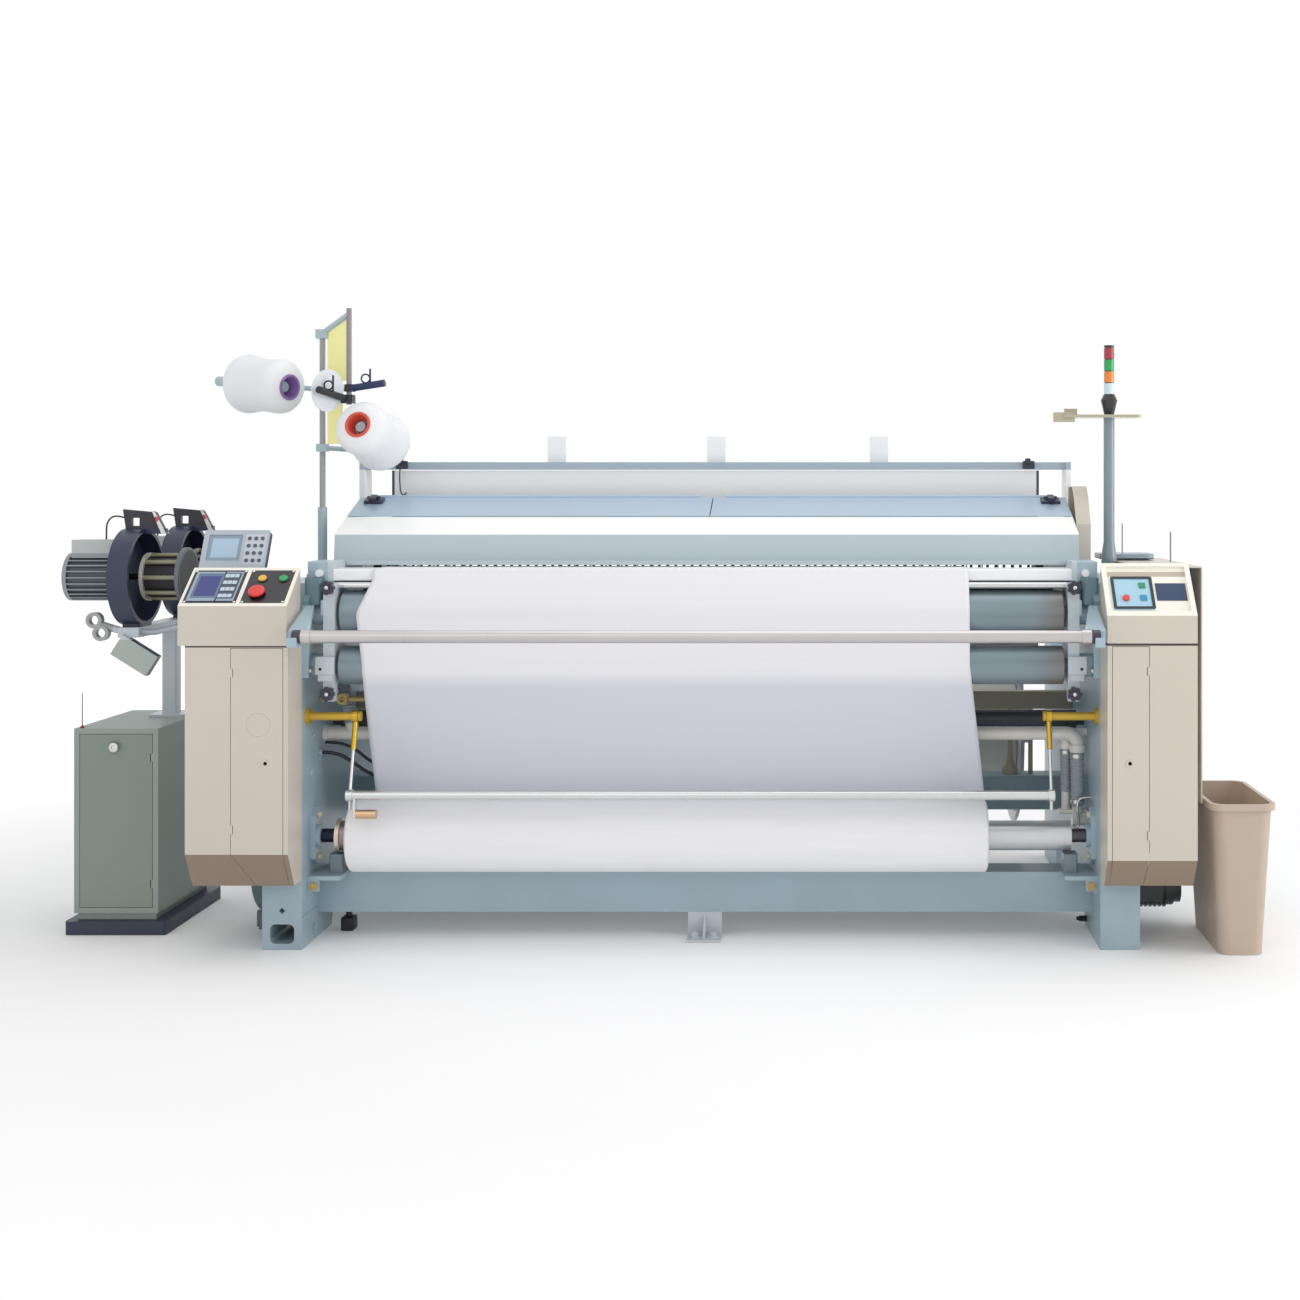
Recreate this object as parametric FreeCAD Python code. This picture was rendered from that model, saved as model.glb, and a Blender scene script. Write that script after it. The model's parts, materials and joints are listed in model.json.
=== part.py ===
import FreeCAD, Part
import math
import os

# A power loom of the 190 cm class, seen from the weaver's side. Millimetres, +Z up.
# The origin is on the floor, under the middle floor bracket. +X is to the right as
# the weaver stands, +Y runs from the weaver to the warp beam at the back.

# ---- Fits -----------------------------------------------------------------------
SEAT_GAP = 0.3          # between pieces that only rest near each other
RUN_GAP = 0.05          # radial clearance of a shaft in its bore
PANEL_GAP = 1.5         # the visible seam round a door or a lid

# ---- Side frames ----------------------------------------------------------------
FRAME_GAP = 2292.0      # between the inner faces of the two frames
FRAME_WIDTH = 114.0     # a frame across its flanges
FRAME_WALL = 22.0       # the casting's web and flange
FRAME_FRONT = -120.0
FRAME_DEPTH = 1300.0
FRAME_TOP = 1050.0
FOOT_LENGTH, FOOT_TALL, REAR_FOOT_TALL = 300.0, 200.0, 60.0
FOOT_HOLE_WIDE, FOOT_HOLE_LOW, FOOT_HOLE_TALL = 70.0, 17.0, 56.0
FOOT_DIAMOND, DIAMOND_Z = 9.0, 112.0    # the small hole above the foot's arch
ARCH_HEIGHT = 110.0     # under the frame, between its feet
REAR_SHOULDER = 740.0   # the low stretch behind the heddles
UPPER_DEPTH = 780.0     # the high stretch of a frame, from its front
REAR_POST = 140.0       # the upright that carries the back rest

# ---- Rollers and the cloth path -------------------------------------------------
ROLLER_REACH = 1046.0   # half the barrel of the take-up rollers
TAKE_UP_Y, TAKE_UP_Z, TAKE_UP_R = -40.0, 963.0, 65.0
PRESS_Y, PRESS_Z, PRESS_R = -60.0, 812.0, 56.0
ROLLER_SHAFT_R = 20.0
GUIDE_Y, GUIDE_Z, GUIDE_R = -66.2, 1043.5, 9.5     # the bar lies just behind the cloth
ROLL_Y, ROLL_Z, ROLL_R = 0.0, 305.0, 105.0
ROLL_LEFT, ROLL_RIGHT = -1035.0, 830.0
CORE_R, CORE_COLLAR_R = 43.0, 49.0
CORE_REACH = 1075.0
CORE_SHAFT_R = 20.0
CLOTH_THICK = 1.2
FELL_LEFT, TAKE_UP_LEFT, PRESS_LEFT, WOUND_LEFT = -957.0, -995.0, -974.0, -981.0
CLOTH_RIGHT, WOUND_RIGHT = 772.0, 830.0
BREAST_FRONT, BREAST_BACK, BREAST_TOP, BREAST_DEEP = -60.0, 62.0, 1090.0, 34.0
BREAST_NOSE = 5.0
BREAST_REACH, BREAST_END_TOP = 1072.0, 1113.0
FELL_Y = 128.0          # where the cloth begins, in front of the reed

# ---- Handrail, roller brackets and star knobs ------------------------------------
RAIL_Y, RAIL_Z, RAIL_R = -290.0, 913.0, 18.0
RAIL_REACH, RAIL_SLEEVE_R, RAIL_SLEEVE = 1094.0, 21.0, 26.0
RAIL_COLLAR, RAIL_BLOCK = 25.0, 27.0    # the holder at each end of the rail, along X
RAIL_ARM_LOW, RAIL_ARM_TOP = 985.0, 1000.0
ARM_IN, ARM_WIDE = 1055.0, 32.0
ARM_FRONT, ARM_BACK, ARM_TOP, ARM_FOOT = -112.0, 14.0, 1052.0, 712.0
PLATE_THICK, PLATE_FOOT = 18.0, 780.0
HOUSING_LOW, HOUSING_TALL, HOUSING_FRONT = 989.0, 77.0, -100.0
END_BOSS_X, END_BOSS_Z, END_BOSS_R = 1110.0, 1079.0, 11.0
KNOB_R, KNOB_THICK, KNOB_LOBES, KNOB_STEM = 21.0, 15.0, 7, 6.0
KNOB_STAND = 8.0        # from the arm to the back of a knob
UPPER_KNOB_Z, LOWER_KNOB_Z = 1040.0, 735.0

# ---- Start and stop bar -----------------------------------------------------------
BAR_Y, BAR_Z, BAR_R = -140.0, 447.0, 13.5
PIVOT_Y, PIVOT_Z = -75.0, 665.0
LEVER_X = 1003.0
LEVER_WIDE = 16.0
STUB_R, JOURNAL_R, EYE_R = 12.0, 9.0, 19.0

# ---- Beams between the frames -----------------------------------------------------
BEAM_FRONT, BEAM_DEEP, BEAM_LOW, BEAM_TALL = 35.0, 120.0, 72.0, 118.0
REAR_BEAM_Y, REAR_BEAM_Z, REAR_BEAM_SIZE = 430.0, 300.0, 110.0
BEAM_WALL = 8.0
TEMPLE_FRONT, TEMPLE_BACK, TEMPLE_LOW, TEMPLE_TOP = 72.0, 106.0, 1040.0, 1088.0
BRACKET_WIDE, BRACKET_DEEP, BRACKET_THICK = 100.0, 84.0, 8.0
ANCHOR_R, ANCHOR_PITCH = 7.0, 56.0

# ---- Suction pipe, hoses and lead ---------------------------------------------------
PIPE_Y, PIPE_Z, PIPE_R, PIPE_BORE_R = 110.0, 590.0, 20.0, 17.0
PIPE_REACH, PIPE_BEND = 1112.0, 34.0
HOSE_R, HOSE_BORE_R, HOSE_PITCH = 21.0, 15.0, 9.0
LEFT_HOSE_X, LEFT_PORT_X, LEFT_PORT_Z = -1060.0, -1092.0, 748.0
PORT_Z = 372.0
LEAD_R = 5.5
LEAD_START_Y, LEAD_START_Z = 60.0, 540.0
LEAD_END_X, LEAD_END_Y = -838.0, 138.0
GLAND_TALL = 8.0

# ---- Column covers, desk and panel ------------------------------------------------
COVER_FRONT = -250.0
COVER_WALL = 4.0
COVER_BACK = 260.0
CHAMFER_IN = 60.0
LEFT_OUT, RIGHT_OUT = 1434.0, 1398.0
LEFT_SEAM, RIGHT_SEAM = 1307.0, 1264.0
LEFT_COVER_TOP, RIGHT_COVER_TOP = 884.0, 889.0
COVER_FOOT, LEFT_CHAMFER, RIGHT_CHAMFER = 200.0, 100.0, 83.0
DOOR_EDGE, DOOR_HEAD = 13.0, 6.0        # from the column's inner side and its top to the door
LOCK_R, LOCK_IN, LOCK_UP = 11.0, 50.0, 355.0
HINGE_IN = 2.5          # from a door's edge to its hinge pins
NOTCH_IN = 3.8          # from the pins to a notch's end, so that the lug clears the open door
LUG_TALL, PIN_R, PIN_REACH, HINGE_FROM_END = 24.0, 1.2, 12.0, 70.0
DESK_LIP, DESK_TOP, DESK_OVER = 996.0, 1097.0, 20.0
PANEL_LIP, PANEL_TOP = 969.0, 1110.0
PANEL_BORDER, PANEL_FACE = 14.0, 118.0
PLATE_SINK = 3.0        # how deep the desk's plates sit
BUTTON_R, STOP_BUTTON_R, BUTTON_TRAVEL, STOP_TRAVEL = 12.0, 23.0, 4.0, 6.0
REAR_COVER_OUT, REAR_COVER_TOP, REAR_COVER_FOOT, REAR_COVER_END = 1440.0, 1100.0, 420.0, 520.0

# ---- Hood and heddles ----------------------------------------------------------------
HOOD_REACH = 1117.0
HOOD_WALL = 3.0
KNUCKLE_R, KNUCKLE_LIFT = 6.0, 3.0      # the hinge roll along the rear edge of a lid
HOOD_LINE = [(100.0, 1107.0), (110.0, 1187.0), (240.0, 1237.0), (400.0, 1295.0)]
TOP_BEAM_Y, TOP_BEAM_DEEP, TOP_BEAM_LOW, TOP_BEAM_TALL = 500.0, 60.0, 1386.0, 24.0
POST_TOP, POST_WIDE, POST_XS = 1495.0, 60.0, (-520.0, 0.0, 530.0)
HEDDLE_REACH = 1045.0
HEDDLE_THICK, HEDDLE_PITCH, HEDDLE_LIFT = 12.0, 20.0, 70.0
HEDDLE_RAIL, HEDDLE_TALL, HEDDLE_COUNT = 90.0, 500.0, 40
SLEY_Y, SLEY_SHAFT_Z, SLEY_SHAFT_R = 215.0, 620.0, 28.0
REED_DENTS = 80

# ---- Warp side ------------------------------------------------------------------------
WARP_Y, WARP_Z, WARP_BARREL_R, WARP_YARN_R, WARP_FLANGE_R = 950.0, 520.0, 80.0, 240.0, 345.0
WARP_REACH, WARP_SHAFT_R = 998.0, 30.0
FLANGE_THICK, FLANGE_HOLES, FLANGE_HOLE_R, FLANGE_HOLE_OUT = 12.0, 6, 42.0, 290.0
BACK_REST_Y, BACK_REST_Z, BACK_REST_R = 1110.0, 985.0, 55.0

# ---- Control box and weft feeders -------------------------------------------------------
BOX_LEFT, BOX_RIGHT, BOX_FRONT, BOX_BACK = -1880.0, -1630.0, 65.0, 500.0
PLINTH_TALL, BOX_TOP, BOX_MARGIN = 60.0, 610.0, 16.0
POST_X, POST_Y, POST_SIZE = -1705.0, 370.0, 45.0
FEEDER_Z, FEEDER_YS = 1059.0, (130.0, 530.0)
HOOP_X0, HOOP_X1, HOOP_R, HOOP_WALL = -1752.0, -1690.0, 145.0, 12.0
DRUM_X0, DRUM_X1, DRUM_R, DRUM_SHAFT_R = -1686.0, -1560.0, 88.0, 9.0
RAIL_LOW, RAIL_TALL = 880.0, 30.0
MOTOR_R, MOTOR_END, MOTOR_FINS = 72.0, -1915.0, 24

# ---- Cone stand -------------------------------------------------------------------------
STAND_X, STAND_Y, STAND_TOP, SLEEVE_TOP = -1203.0, 280.0, 1813.0, 1267.0
SLEEVE_R, STAND_R, HANG_R = 14.0, 9.0, 8.0
HANG_X, HANG_Y, HANG_TOP, HANG_LOW = -1107.0, 230.0, 1878.0, 1582.0
CONE_NOSE_R, CONE_BASE_R, CONE_LENGTH, CONE_TUBE_R = 84.0, 92.0, 215.0, 21.0
SPINDLE_TAIL = 96.0     # how far a spindle stands out behind its cone
CONE_1_PLACE, CONE_1_HEADING = (-1294.0, 240.0, 1636.0), (0.868, -0.488, -0.09)
CONE_2_PLACE, CONE_2_HEADING = (-1058.0, 150.0, 1517.0), (-0.16, -0.95, 0.27)
UPPER_ARM_Z, LOWER_ARM_Z, ARM_R = 1615.0, 1451.0, 8.0
DISC_R, DISC_AHEAD = 64.0, 160.0        # the balloon plate, coaxial with the upper cone

# ---- Stack light and waste bin ----------------------------------------------------------
LIGHT_X, LIGHT_Y, LIGHT_TOP, TRAY_Z, LAMP_R = 1235.0, 280.0, 1768.0, 1543.0, 16.0
BIN_LEFT, BIN_RIGHT, BIN_FRONT, BIN_BACK, BIN_TALL = 1454.0, 1624.0, -200.0, 200.0, 432.0
BIN_WALL, BIN_TAPER = 3.0, 22.0

# ---- Derived places ----------------------------------------------------------------------
INNER = FRAME_GAP / 2
OUTER = INNER + FRAME_WIDTH
FRAME_REAR = FRAME_FRONT + FRAME_DEPTH
DESK_SLOPE = math.degrees(math.atan2(DESK_TOP - DESK_LIP, FRAME_FRONT - COVER_FRONT))
PANEL_SLOPE = math.degrees(math.atan2(PANEL_TOP - PANEL_LIP, FRAME_FRONT - COVER_FRONT))
DESK_LENGTH = math.hypot(DESK_TOP - DESK_LIP, FRAME_FRONT - COVER_FRONT)
PANEL_LENGTH = math.hypot(PANEL_TOP - PANEL_LIP, FRAME_FRONT - COVER_FRONT)

V = FreeCAD.Vector
X_AXIS = V(1, 0, 0)
Y_AXIS = V(0, 1, 0)
Z_AXIS = V(0, 0, 1)
ORIGIN = V(0, 0, 0)
CONE_1_FACE, CONE_1_WAY = V(*CONE_1_PLACE), V(*CONE_1_HEADING).normalize()
CONE_2_FACE, CONE_2_WAY = V(*CONE_2_PLACE), V(*CONE_2_HEADING).normalize()


# ---- Small tools -----------------------------------------------------------------------
def block(x0, x1, y0, y1, z0, z1):
    """A box between two corners."""
    return Part.makeBox(x1 - x0, y1 - y0, z1 - z0, V(x0, y0, z0))


def rod(radius, start, end):
    """A round bar from one point to another."""
    way = end.sub(start)
    return Part.makeCylinder(radius, way.Length, start, way)


def rod_x(radius, x0, x1, y, z):
    return rod(radius, V(x0, y, z), V(x1, y, z))


def rod_y(radius, y0, y1, x, z):
    return rod(radius, V(x, y0, z), V(x, y1, z))


def rod_z(radius, z0, z1, x, y):
    return rod(radius, V(x, y, z0), V(x, y, z1))


def prism(corners, way):
    """A polygon pushed along a vector."""
    wire = Part.makePolygon(corners + [corners[0]])
    return Part.Face(wire).extrude(way)


def prism_x(points, x0, x1):
    """A profile drawn in Y and Z, pushed along X."""
    return prism([V(x0, y, z) for y, z in points], V(x1 - x0, 0, 0))


def prism_y(points, y0, y1):
    """A profile drawn in X and Z, pushed along Y."""
    return prism([V(x, y0, z) for x, z in points], V(0, y1 - y0, 0))


def prism_z(points, z0, z1):
    """A profile drawn in X and Y, pushed along Z."""
    return prism([V(x, y, z0) for x, y in points], V(0, 0, z1 - z0))


def joined(first, *others):
    """Solids fused into one, with the seams between them removed."""
    return first.fuse(list(others)).removeSplitter() if others else first


def mirrored(shape):
    """The same piece on the other side of the loom."""
    return shape.mirror(ORIGIN, X_AXIS)


def rounded(shape, radius, way):
    """The edges that run along a direction, rounded."""
    edges = []
    for edge in shape.Edges:
        if len(edge.Vertexes) == 2 and edge.Curve.TypeId == "Part::GeomLine":
            run = edge.Vertexes[1].Point.sub(edge.Vertexes[0].Point)
            if run.Length > 0 and abs(run.normalize().dot(way)) > 0.999:
                edges.append(edge)
    return shape.makeFillet(radius, edges)


def placed(shape, slope, y, z):
    """A piece drawn flat, leaned back about X and set at a height."""
    moved = shape.copy()
    moved.rotate(ORIGIN, X_AXIS, slope)
    moved.translate(V(0, y, z))
    return moved


def save(name, *shapes):
    """One STEP file for one named piece or group of like pieces."""
    whole = shapes[0] if len(shapes) == 1 else Part.makeCompound(list(shapes))
    whole.exportStep("parts/" + name + ".step")


os.makedirs("parts", exist_ok=True)


# ---- Side frames: a ribbed casting on each side --------------------------------------------
def frame_outline():
    """The frame's edge in Y and Z, with an arch between its feet."""
    front, rear = FRAME_FRONT, FRAME_REAR
    upper_end = front + UPPER_DEPTH
    post = rear - REAR_POST
    return [(front, 0), (front + FOOT_LENGTH, 0), (front + FOOT_LENGTH + 40, ARCH_HEIGHT),
            (rear - FOOT_LENGTH - 40, ARCH_HEIGHT), (rear - FOOT_LENGTH, 0), (rear, 0),
            (rear, FRAME_TOP), (post, FRAME_TOP), (post - 60, REAR_SHOULDER),
            (upper_end, REAR_SHOULDER), (upper_end - 60, FRAME_TOP), (front + 50, FRAME_TOP),
            (front, FRAME_TOP - 90)]


def side_frame(hollow_foot):
    """A casting drawn on the right: web, flange all round, ribs, bosses and its front foot."""
    outline = frame_outline()
    whole = prism_x(outline, INNER, OUTER)
    wire = Part.makePolygon([V(INNER, y, z) for y, z in outline + outline[:1]])
    inset = Part.Face(wire).makeOffset2D(-FRAME_WALL, join=2)
    pocket = inset.extrude(V(FRAME_WIDTH, 0, 0))
    pocket.translate(V(FRAME_WALL, 0, 0))
    casting = whole.cut(pocket)
    ribs = []
    for rib_y in (FRAME_FRONT + 260, FRAME_FRONT + 520, FRAME_FRONT + UPPER_DEPTH + 80):
        ribs.append(block(INNER, OUTER - 8, rib_y, rib_y + 16, ARCH_HEIGHT, REAR_SHOULDER))
    ribs.append(block(INNER, OUTER - 8, FRAME_FRONT, FRAME_REAR, 430, 446))
    foot = block(INNER, OUTER, FRAME_FRONT, FRAME_FRONT + FOOT_LENGTH, 0, FOOT_TALL)
    rear_foot = block(INNER, OUTER, FRAME_REAR - FOOT_LENGTH, FRAME_REAR, 0, REAR_FOOT_TALL)
    bosses = [rod_x(58, INNER, INNER + 60, WARP_Y, WARP_Z),
              rod_x(45, INNER, INNER + 60, SLEY_Y, SLEY_SHAFT_Z)]
    casting = joined(casting, *[rib.common(whole) for rib in ribs], foot, rear_foot, *bosses)
    if hollow_foot:
        middle = (INNER + OUTER) / 2
        half, size = FOOT_HOLE_WIDE / 2, FOOT_DIAMOND
        arch = rounded(block(middle - half, middle + half, FRAME_FRONT - 1, FRAME_FRONT + FOOT_LENGTH + 60,
                             FOOT_HOLE_LOW, FOOT_HOLE_LOW + FOOT_HOLE_TALL), 16, Y_AXIS)
        diamond = prism_y([(middle - size, DIAMOND_Z), (middle, DIAMOND_Z - size), (middle + size, DIAMOND_Z),
                           (middle, DIAMOND_Z + size)], FRAME_FRONT - 1, FRAME_FRONT + FRAME_WALL + 1)
        casting = casting.cut(joined(arch, diamond))
    for y, z, radius in ((WARP_Y, WARP_Z, WARP_SHAFT_R), (SLEY_Y, SLEY_SHAFT_Z, ROLLER_SHAFT_R),
                         (BACK_REST_Y, BACK_REST_Z, ROLLER_SHAFT_R)):
        casting = casting.cut(rod_x(radius + RUN_GAP, INNER - 1, OUTER, y, z))
    return casting


def cross_beams():
    """The folded front beam, the square tube further back, and the temple bar under the cloth."""
    back = BEAM_FRONT + BEAM_DEEP
    top = BEAM_LOW + BEAM_TALL
    wall = BEAM_WALL
    front = prism_x([(BEAM_FRONT, BEAM_LOW), (back, BEAM_LOW), (back, BEAM_LOW + wall),
                     (BEAM_FRONT + wall, BEAM_LOW + wall), (BEAM_FRONT + wall, top - wall),
                     (back - wall, top - wall), (back - wall, BEAM_LOW + 40), (back, BEAM_LOW + 40),
                     (back, top), (BEAM_FRONT, top)], -INNER, INNER)
    gland = rod_z(LEAD_R + 5, top, top + GLAND_TALL, LEAD_END_X, LEAD_END_Y)
    size = REAR_BEAM_SIZE
    tube = block(-INNER, INNER, REAR_BEAM_Y, REAR_BEAM_Y + size, REAR_BEAM_Z, REAR_BEAM_Z + size)
    hollow = block(-INNER - 1, INNER + 1, REAR_BEAM_Y + wall, REAR_BEAM_Y + size - wall,
                   REAR_BEAM_Z + wall, REAR_BEAM_Z + size - wall)
    temple = rounded(block(-INNER, INNER, TEMPLE_FRONT, TEMPLE_BACK, TEMPLE_LOW, TEMPLE_TOP), 4, X_AXIS)
    return joined(front, gland), rounded(tube, 12, X_AXIS).cut(hollow), temple


def floor_bracket():
    """The angle under the front beam, bolted down by two anchors."""
    half = BRACKET_WIDE / 2
    front, back, thick = -BRACKET_DEEP / 2, BRACKET_DEEP / 2, BRACKET_THICK
    base = block(-half, half, front, back, 0, thick)
    upright = block(-half, half, back - thick, back, 0, BEAM_LOW)
    seat = block(-half, half, back - thick, back + 40, BEAM_LOW - thick, BEAM_LOW)
    gusset = prism_x([(front + 30, thick), (back - thick, BEAM_LOW - thick), (back - thick, thick)], -4, 4)
    bracket = joined(base, upright, seat, gusset)
    for x in (-ANCHOR_PITCH / 2, ANCHOR_PITCH / 2):
        bracket = bracket.cut(rod_z(ANCHOR_R + 1, -1, thick + 1, x, -8))
        bolt = joined(rod_z(ANCHOR_R, 0, thick + 16, x, -8), rod_z(14, thick, thick + 3, x, -8),
                      hexagon(11, thick + 3, thick + 13, x, -8))
        bracket = joined(bracket, bolt)
    return bracket


def hexagon(reach, z0, z1, x, y):
    """A hexagon head standing on Z."""
    corners = [(x + reach * math.cos(math.radians(60 * turn)), y + reach * math.sin(math.radians(60 * turn)))
               for turn in range(6)]
    return prism_z(corners, z0, z1)


save("right_side_frame", side_frame(False))
lead_gland = rod_x(LEAD_R + 5, -INNER, -INNER + GLAND_TALL, LEAD_START_Y, LEAD_START_Z)
save("left_side_frame", joined(mirrored(side_frame(True)), lead_gland))
save("cross_beams", *cross_beams())
save("centre_floor_bracket", floor_bracket())


# ---- Roller brackets, rollers and knobs ---------------------------------------------------
def rail_holder(plate_in):
    """The sloping gusset to the handrail, with the collar and the block that hold its end."""
    front, back = RAIL_Y + RAIL_R / 2, HOUSING_FRONT + 20
    inner = RAIL_REACH - 16
    gusset = prism_x([(back, RAIL_ARM_LOW), (back, RAIL_ARM_TOP), (front, RAIL_Z + 14), (front, RAIL_Z - 9)],
                     inner, plate_in + 8)
    aside = prism_z([(inner - 1, front - 1), (inner, front - 1), (plate_in - 8, back), (inner - 1, back)],
                    RAIL_Z - 20, RAIL_ARM_TOP + 1)
    sleeve_room = rod_x(RAIL_SLEEVE_R + SEAT_GAP, inner - 1, RAIL_REACH, RAIL_Y, RAIL_Z)
    collar = rod_x(RAIL_R + 1, RAIL_REACH, RAIL_REACH + RAIL_COLLAR, RAIL_Y, RAIL_Z)
    block_in = RAIL_REACH + 9
    holder = block(block_in, block_in + RAIL_BLOCK, RAIL_Y - 24, RAIL_Y + 22, RAIL_Z - 28, RAIL_Z - 1)
    return [gusset.cut(aside).cut(sleeve_room), collar, rounded(holder, 3, Y_AXIS)]


def roller_bracket():
    """The right-hand casting: plate on the frame, bearing arm, breast end and handrail holder."""
    plate_in = INNER - PLATE_THICK
    seat = BREAST_TOP - BREAST_DEEP
    plate = prism_x([(FRAME_FRONT + 4, PLATE_FOOT), (BREAST_BACK, PLATE_FOOT), (BREAST_BACK, seat),
                     (BREAST_FRONT, seat), (FRAME_FRONT + 4, seat - 56)], plate_in, INNER)
    neck = (ARM_FRONT + PRESS_Y) / 2
    arm = prism_x([(ARM_FRONT, ARM_FOOT), (neck, ARM_FOOT), (neck + 10, PLATE_FOOT - 20),
                   (ARM_BACK, PLATE_FOOT + 10), (ARM_BACK, ARM_TOP - 20), (ARM_BACK - 30, ARM_TOP),
                   (ARM_FRONT, ARM_TOP)], ARM_IN, ARM_IN + ARM_WIDE)
    arm_out, stem_x = ARM_IN + ARM_WIDE, ARM_IN + ARM_WIDE / 2
    step = block(arm_out, arm_out + 7, ARM_FRONT, ARM_FRONT + 20, HOUSING_LOW - 30, HOUSING_LOW + 14)
    screw = rod_y(3.5, ARM_FRONT - 3, ARM_FRONT, arm_out + 1, HOUSING_LOW - 12)
    bosses = [rod_x(36, ARM_IN, plate_in, TAKE_UP_Y, TAKE_UP_Z),
              rod_x(34, ARM_IN, plate_in, PRESS_Y, PRESS_Z)]
    breast_end = rounded(block(BREAST_REACH, INNER, BREAST_FRONT - 4, BREAST_BACK, seat - 3, BREAST_END_TOP),
                         5, X_AXIS)
    end_boss = rod_y(END_BOSS_R, BREAST_FRONT - 16, BREAST_FRONT - 3, END_BOSS_X, END_BOSS_Z)
    housing = rounded(block(arm_out + 11, INNER, HOUSING_FRONT, HOUSING_FRONT + 50, HOUSING_LOW,
                            HOUSING_LOW + HOUSING_TALL), 11, Z_AXIS)
    casting = joined(plate, arm, step, screw, *bosses, breast_end, end_boss, housing, *rail_holder(plate_in))
    for y, z in ((TAKE_UP_Y, TAKE_UP_Z), (PRESS_Y, PRESS_Z)):
        casting = casting.cut(rod_x(ROLLER_SHAFT_R + RUN_GAP, ARM_IN - 1, INNER + 1, y, z))
    for z in (UPPER_KNOB_Z, LOWER_KNOB_Z):
        casting = casting.cut(rod_y(KNOB_STEM + RUN_GAP, ARM_FRONT - 1, ARM_FRONT + 22, stem_x, z))
    return casting


def roller(y, z, radius, reach, shaft_radius, shaft_reach):
    """A barrel with its edges eased, and a shaft through both ends."""
    barrel = rod_x(radius, -reach, reach, y, z)
    rims = [edge for edge in barrel.Edges if edge.Curve.TypeId == "Part::GeomCircle"]
    barrel = barrel.makeChamfer(3, rims)
    return joined(barrel, rod_x(shaft_radius, -shaft_reach, shaft_reach, y, z))


def star_knob(x, z):
    """A lobed knob on its stem, in front of an arm."""
    front = ARM_FRONT - KNOB_STAND - KNOB_THICK
    back = ARM_FRONT - KNOB_STAND
    disc = rod_y(KNOB_R, front, back, x, z)
    bite_circle = KNOB_R + 2.5
    for turn in range(KNOB_LOBES):
        angle = 2 * math.pi * (turn + 0.5) / KNOB_LOBES
        bite_x, bite_z = x + bite_circle * math.cos(angle), z + bite_circle * math.sin(angle)
        disc = disc.cut(rod_y(6.0, front - 1, back + 1, bite_x, bite_z))
    rims = [edge for edge in disc.Edges
            if abs(edge.BoundBox.YMin - front) < 0.01 and edge.BoundBox.YLength < 0.01]
    disc = disc.makeChamfer(1.5, rims)
    hub = rod_y(9, front - 3, front + 2, x, z)
    stem = rod_y(KNOB_STEM, back - 2, ARM_FRONT + 20, x, z)
    collar = rod_y(10, back - 2, back + 5, x, z)
    return joined(disc, hub, stem, collar)


right_bracket = roller_bracket()
save("roller_brackets", right_bracket, mirrored(right_bracket))
save("take_up_roller", roller(TAKE_UP_Y, TAKE_UP_Z, TAKE_UP_R, ROLLER_REACH, ROLLER_SHAFT_R, INNER - 2))
save("press_roller", roller(PRESS_Y, PRESS_Z, PRESS_R, ROLLER_REACH, ROLLER_SHAFT_R, INNER - 2))
save("guide_bar", rod_x(GUIDE_R, -ARM_IN, ARM_IN, GUIDE_Y, GUIDE_Z))
knob_x = ARM_IN + ARM_WIDE / 2
save("upper_right_knob", star_knob(knob_x, UPPER_KNOB_Z))
save("upper_left_knob", star_knob(-knob_x, UPPER_KNOB_Z))
save("lower_right_knob", star_knob(knob_x, LOWER_KNOB_Z))
save("lower_left_knob", star_knob(-knob_x, LOWER_KNOB_Z))

sleeves = [rod_x(RAIL_SLEEVE_R, x, x + RAIL_SLEEVE, RAIL_Y, RAIL_Z)
           for x in (-RAIL_REACH, RAIL_REACH - RAIL_SLEEVE)]
save("handrail", joined(rod_x(RAIL_R, -RAIL_REACH, RAIL_REACH, RAIL_Y, RAIL_Z), *sleeves))

breast = rounded(block(-BREAST_REACH, BREAST_REACH, BREAST_FRONT, BREAST_BACK, BREAST_TOP - BREAST_DEEP,
                       BREAST_TOP), BREAST_NOSE, X_AXIS)
save("breast_plate", breast)


# ---- Start and stop bar ------------------------------------------------------------------
def pivot_stub():
    """The yellow arm on the right frame, with a journal and a cap for the lever's eye."""
    eye_out = LEVER_X + LEVER_WIDE / 2
    eye_in = LEVER_X - LEVER_WIDE / 2
    arm = rod_x(STUB_R, eye_out + SEAT_GAP, INNER, PIVOT_Y, PIVOT_Z)
    foot = rod_x(STUB_R + 12, INNER - 10, INNER, PIVOT_Y, PIVOT_Z)
    journal = rod_x(JOURNAL_R, eye_in - 3, INNER - 20, PIVOT_Y, PIVOT_Z)
    cap = rod_x(JOURNAL_R + 5, eye_in - 8, eye_in - SEAT_GAP, PIVOT_Y, PIVOT_Z)
    return joined(arm, foot, journal, cap)


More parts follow.
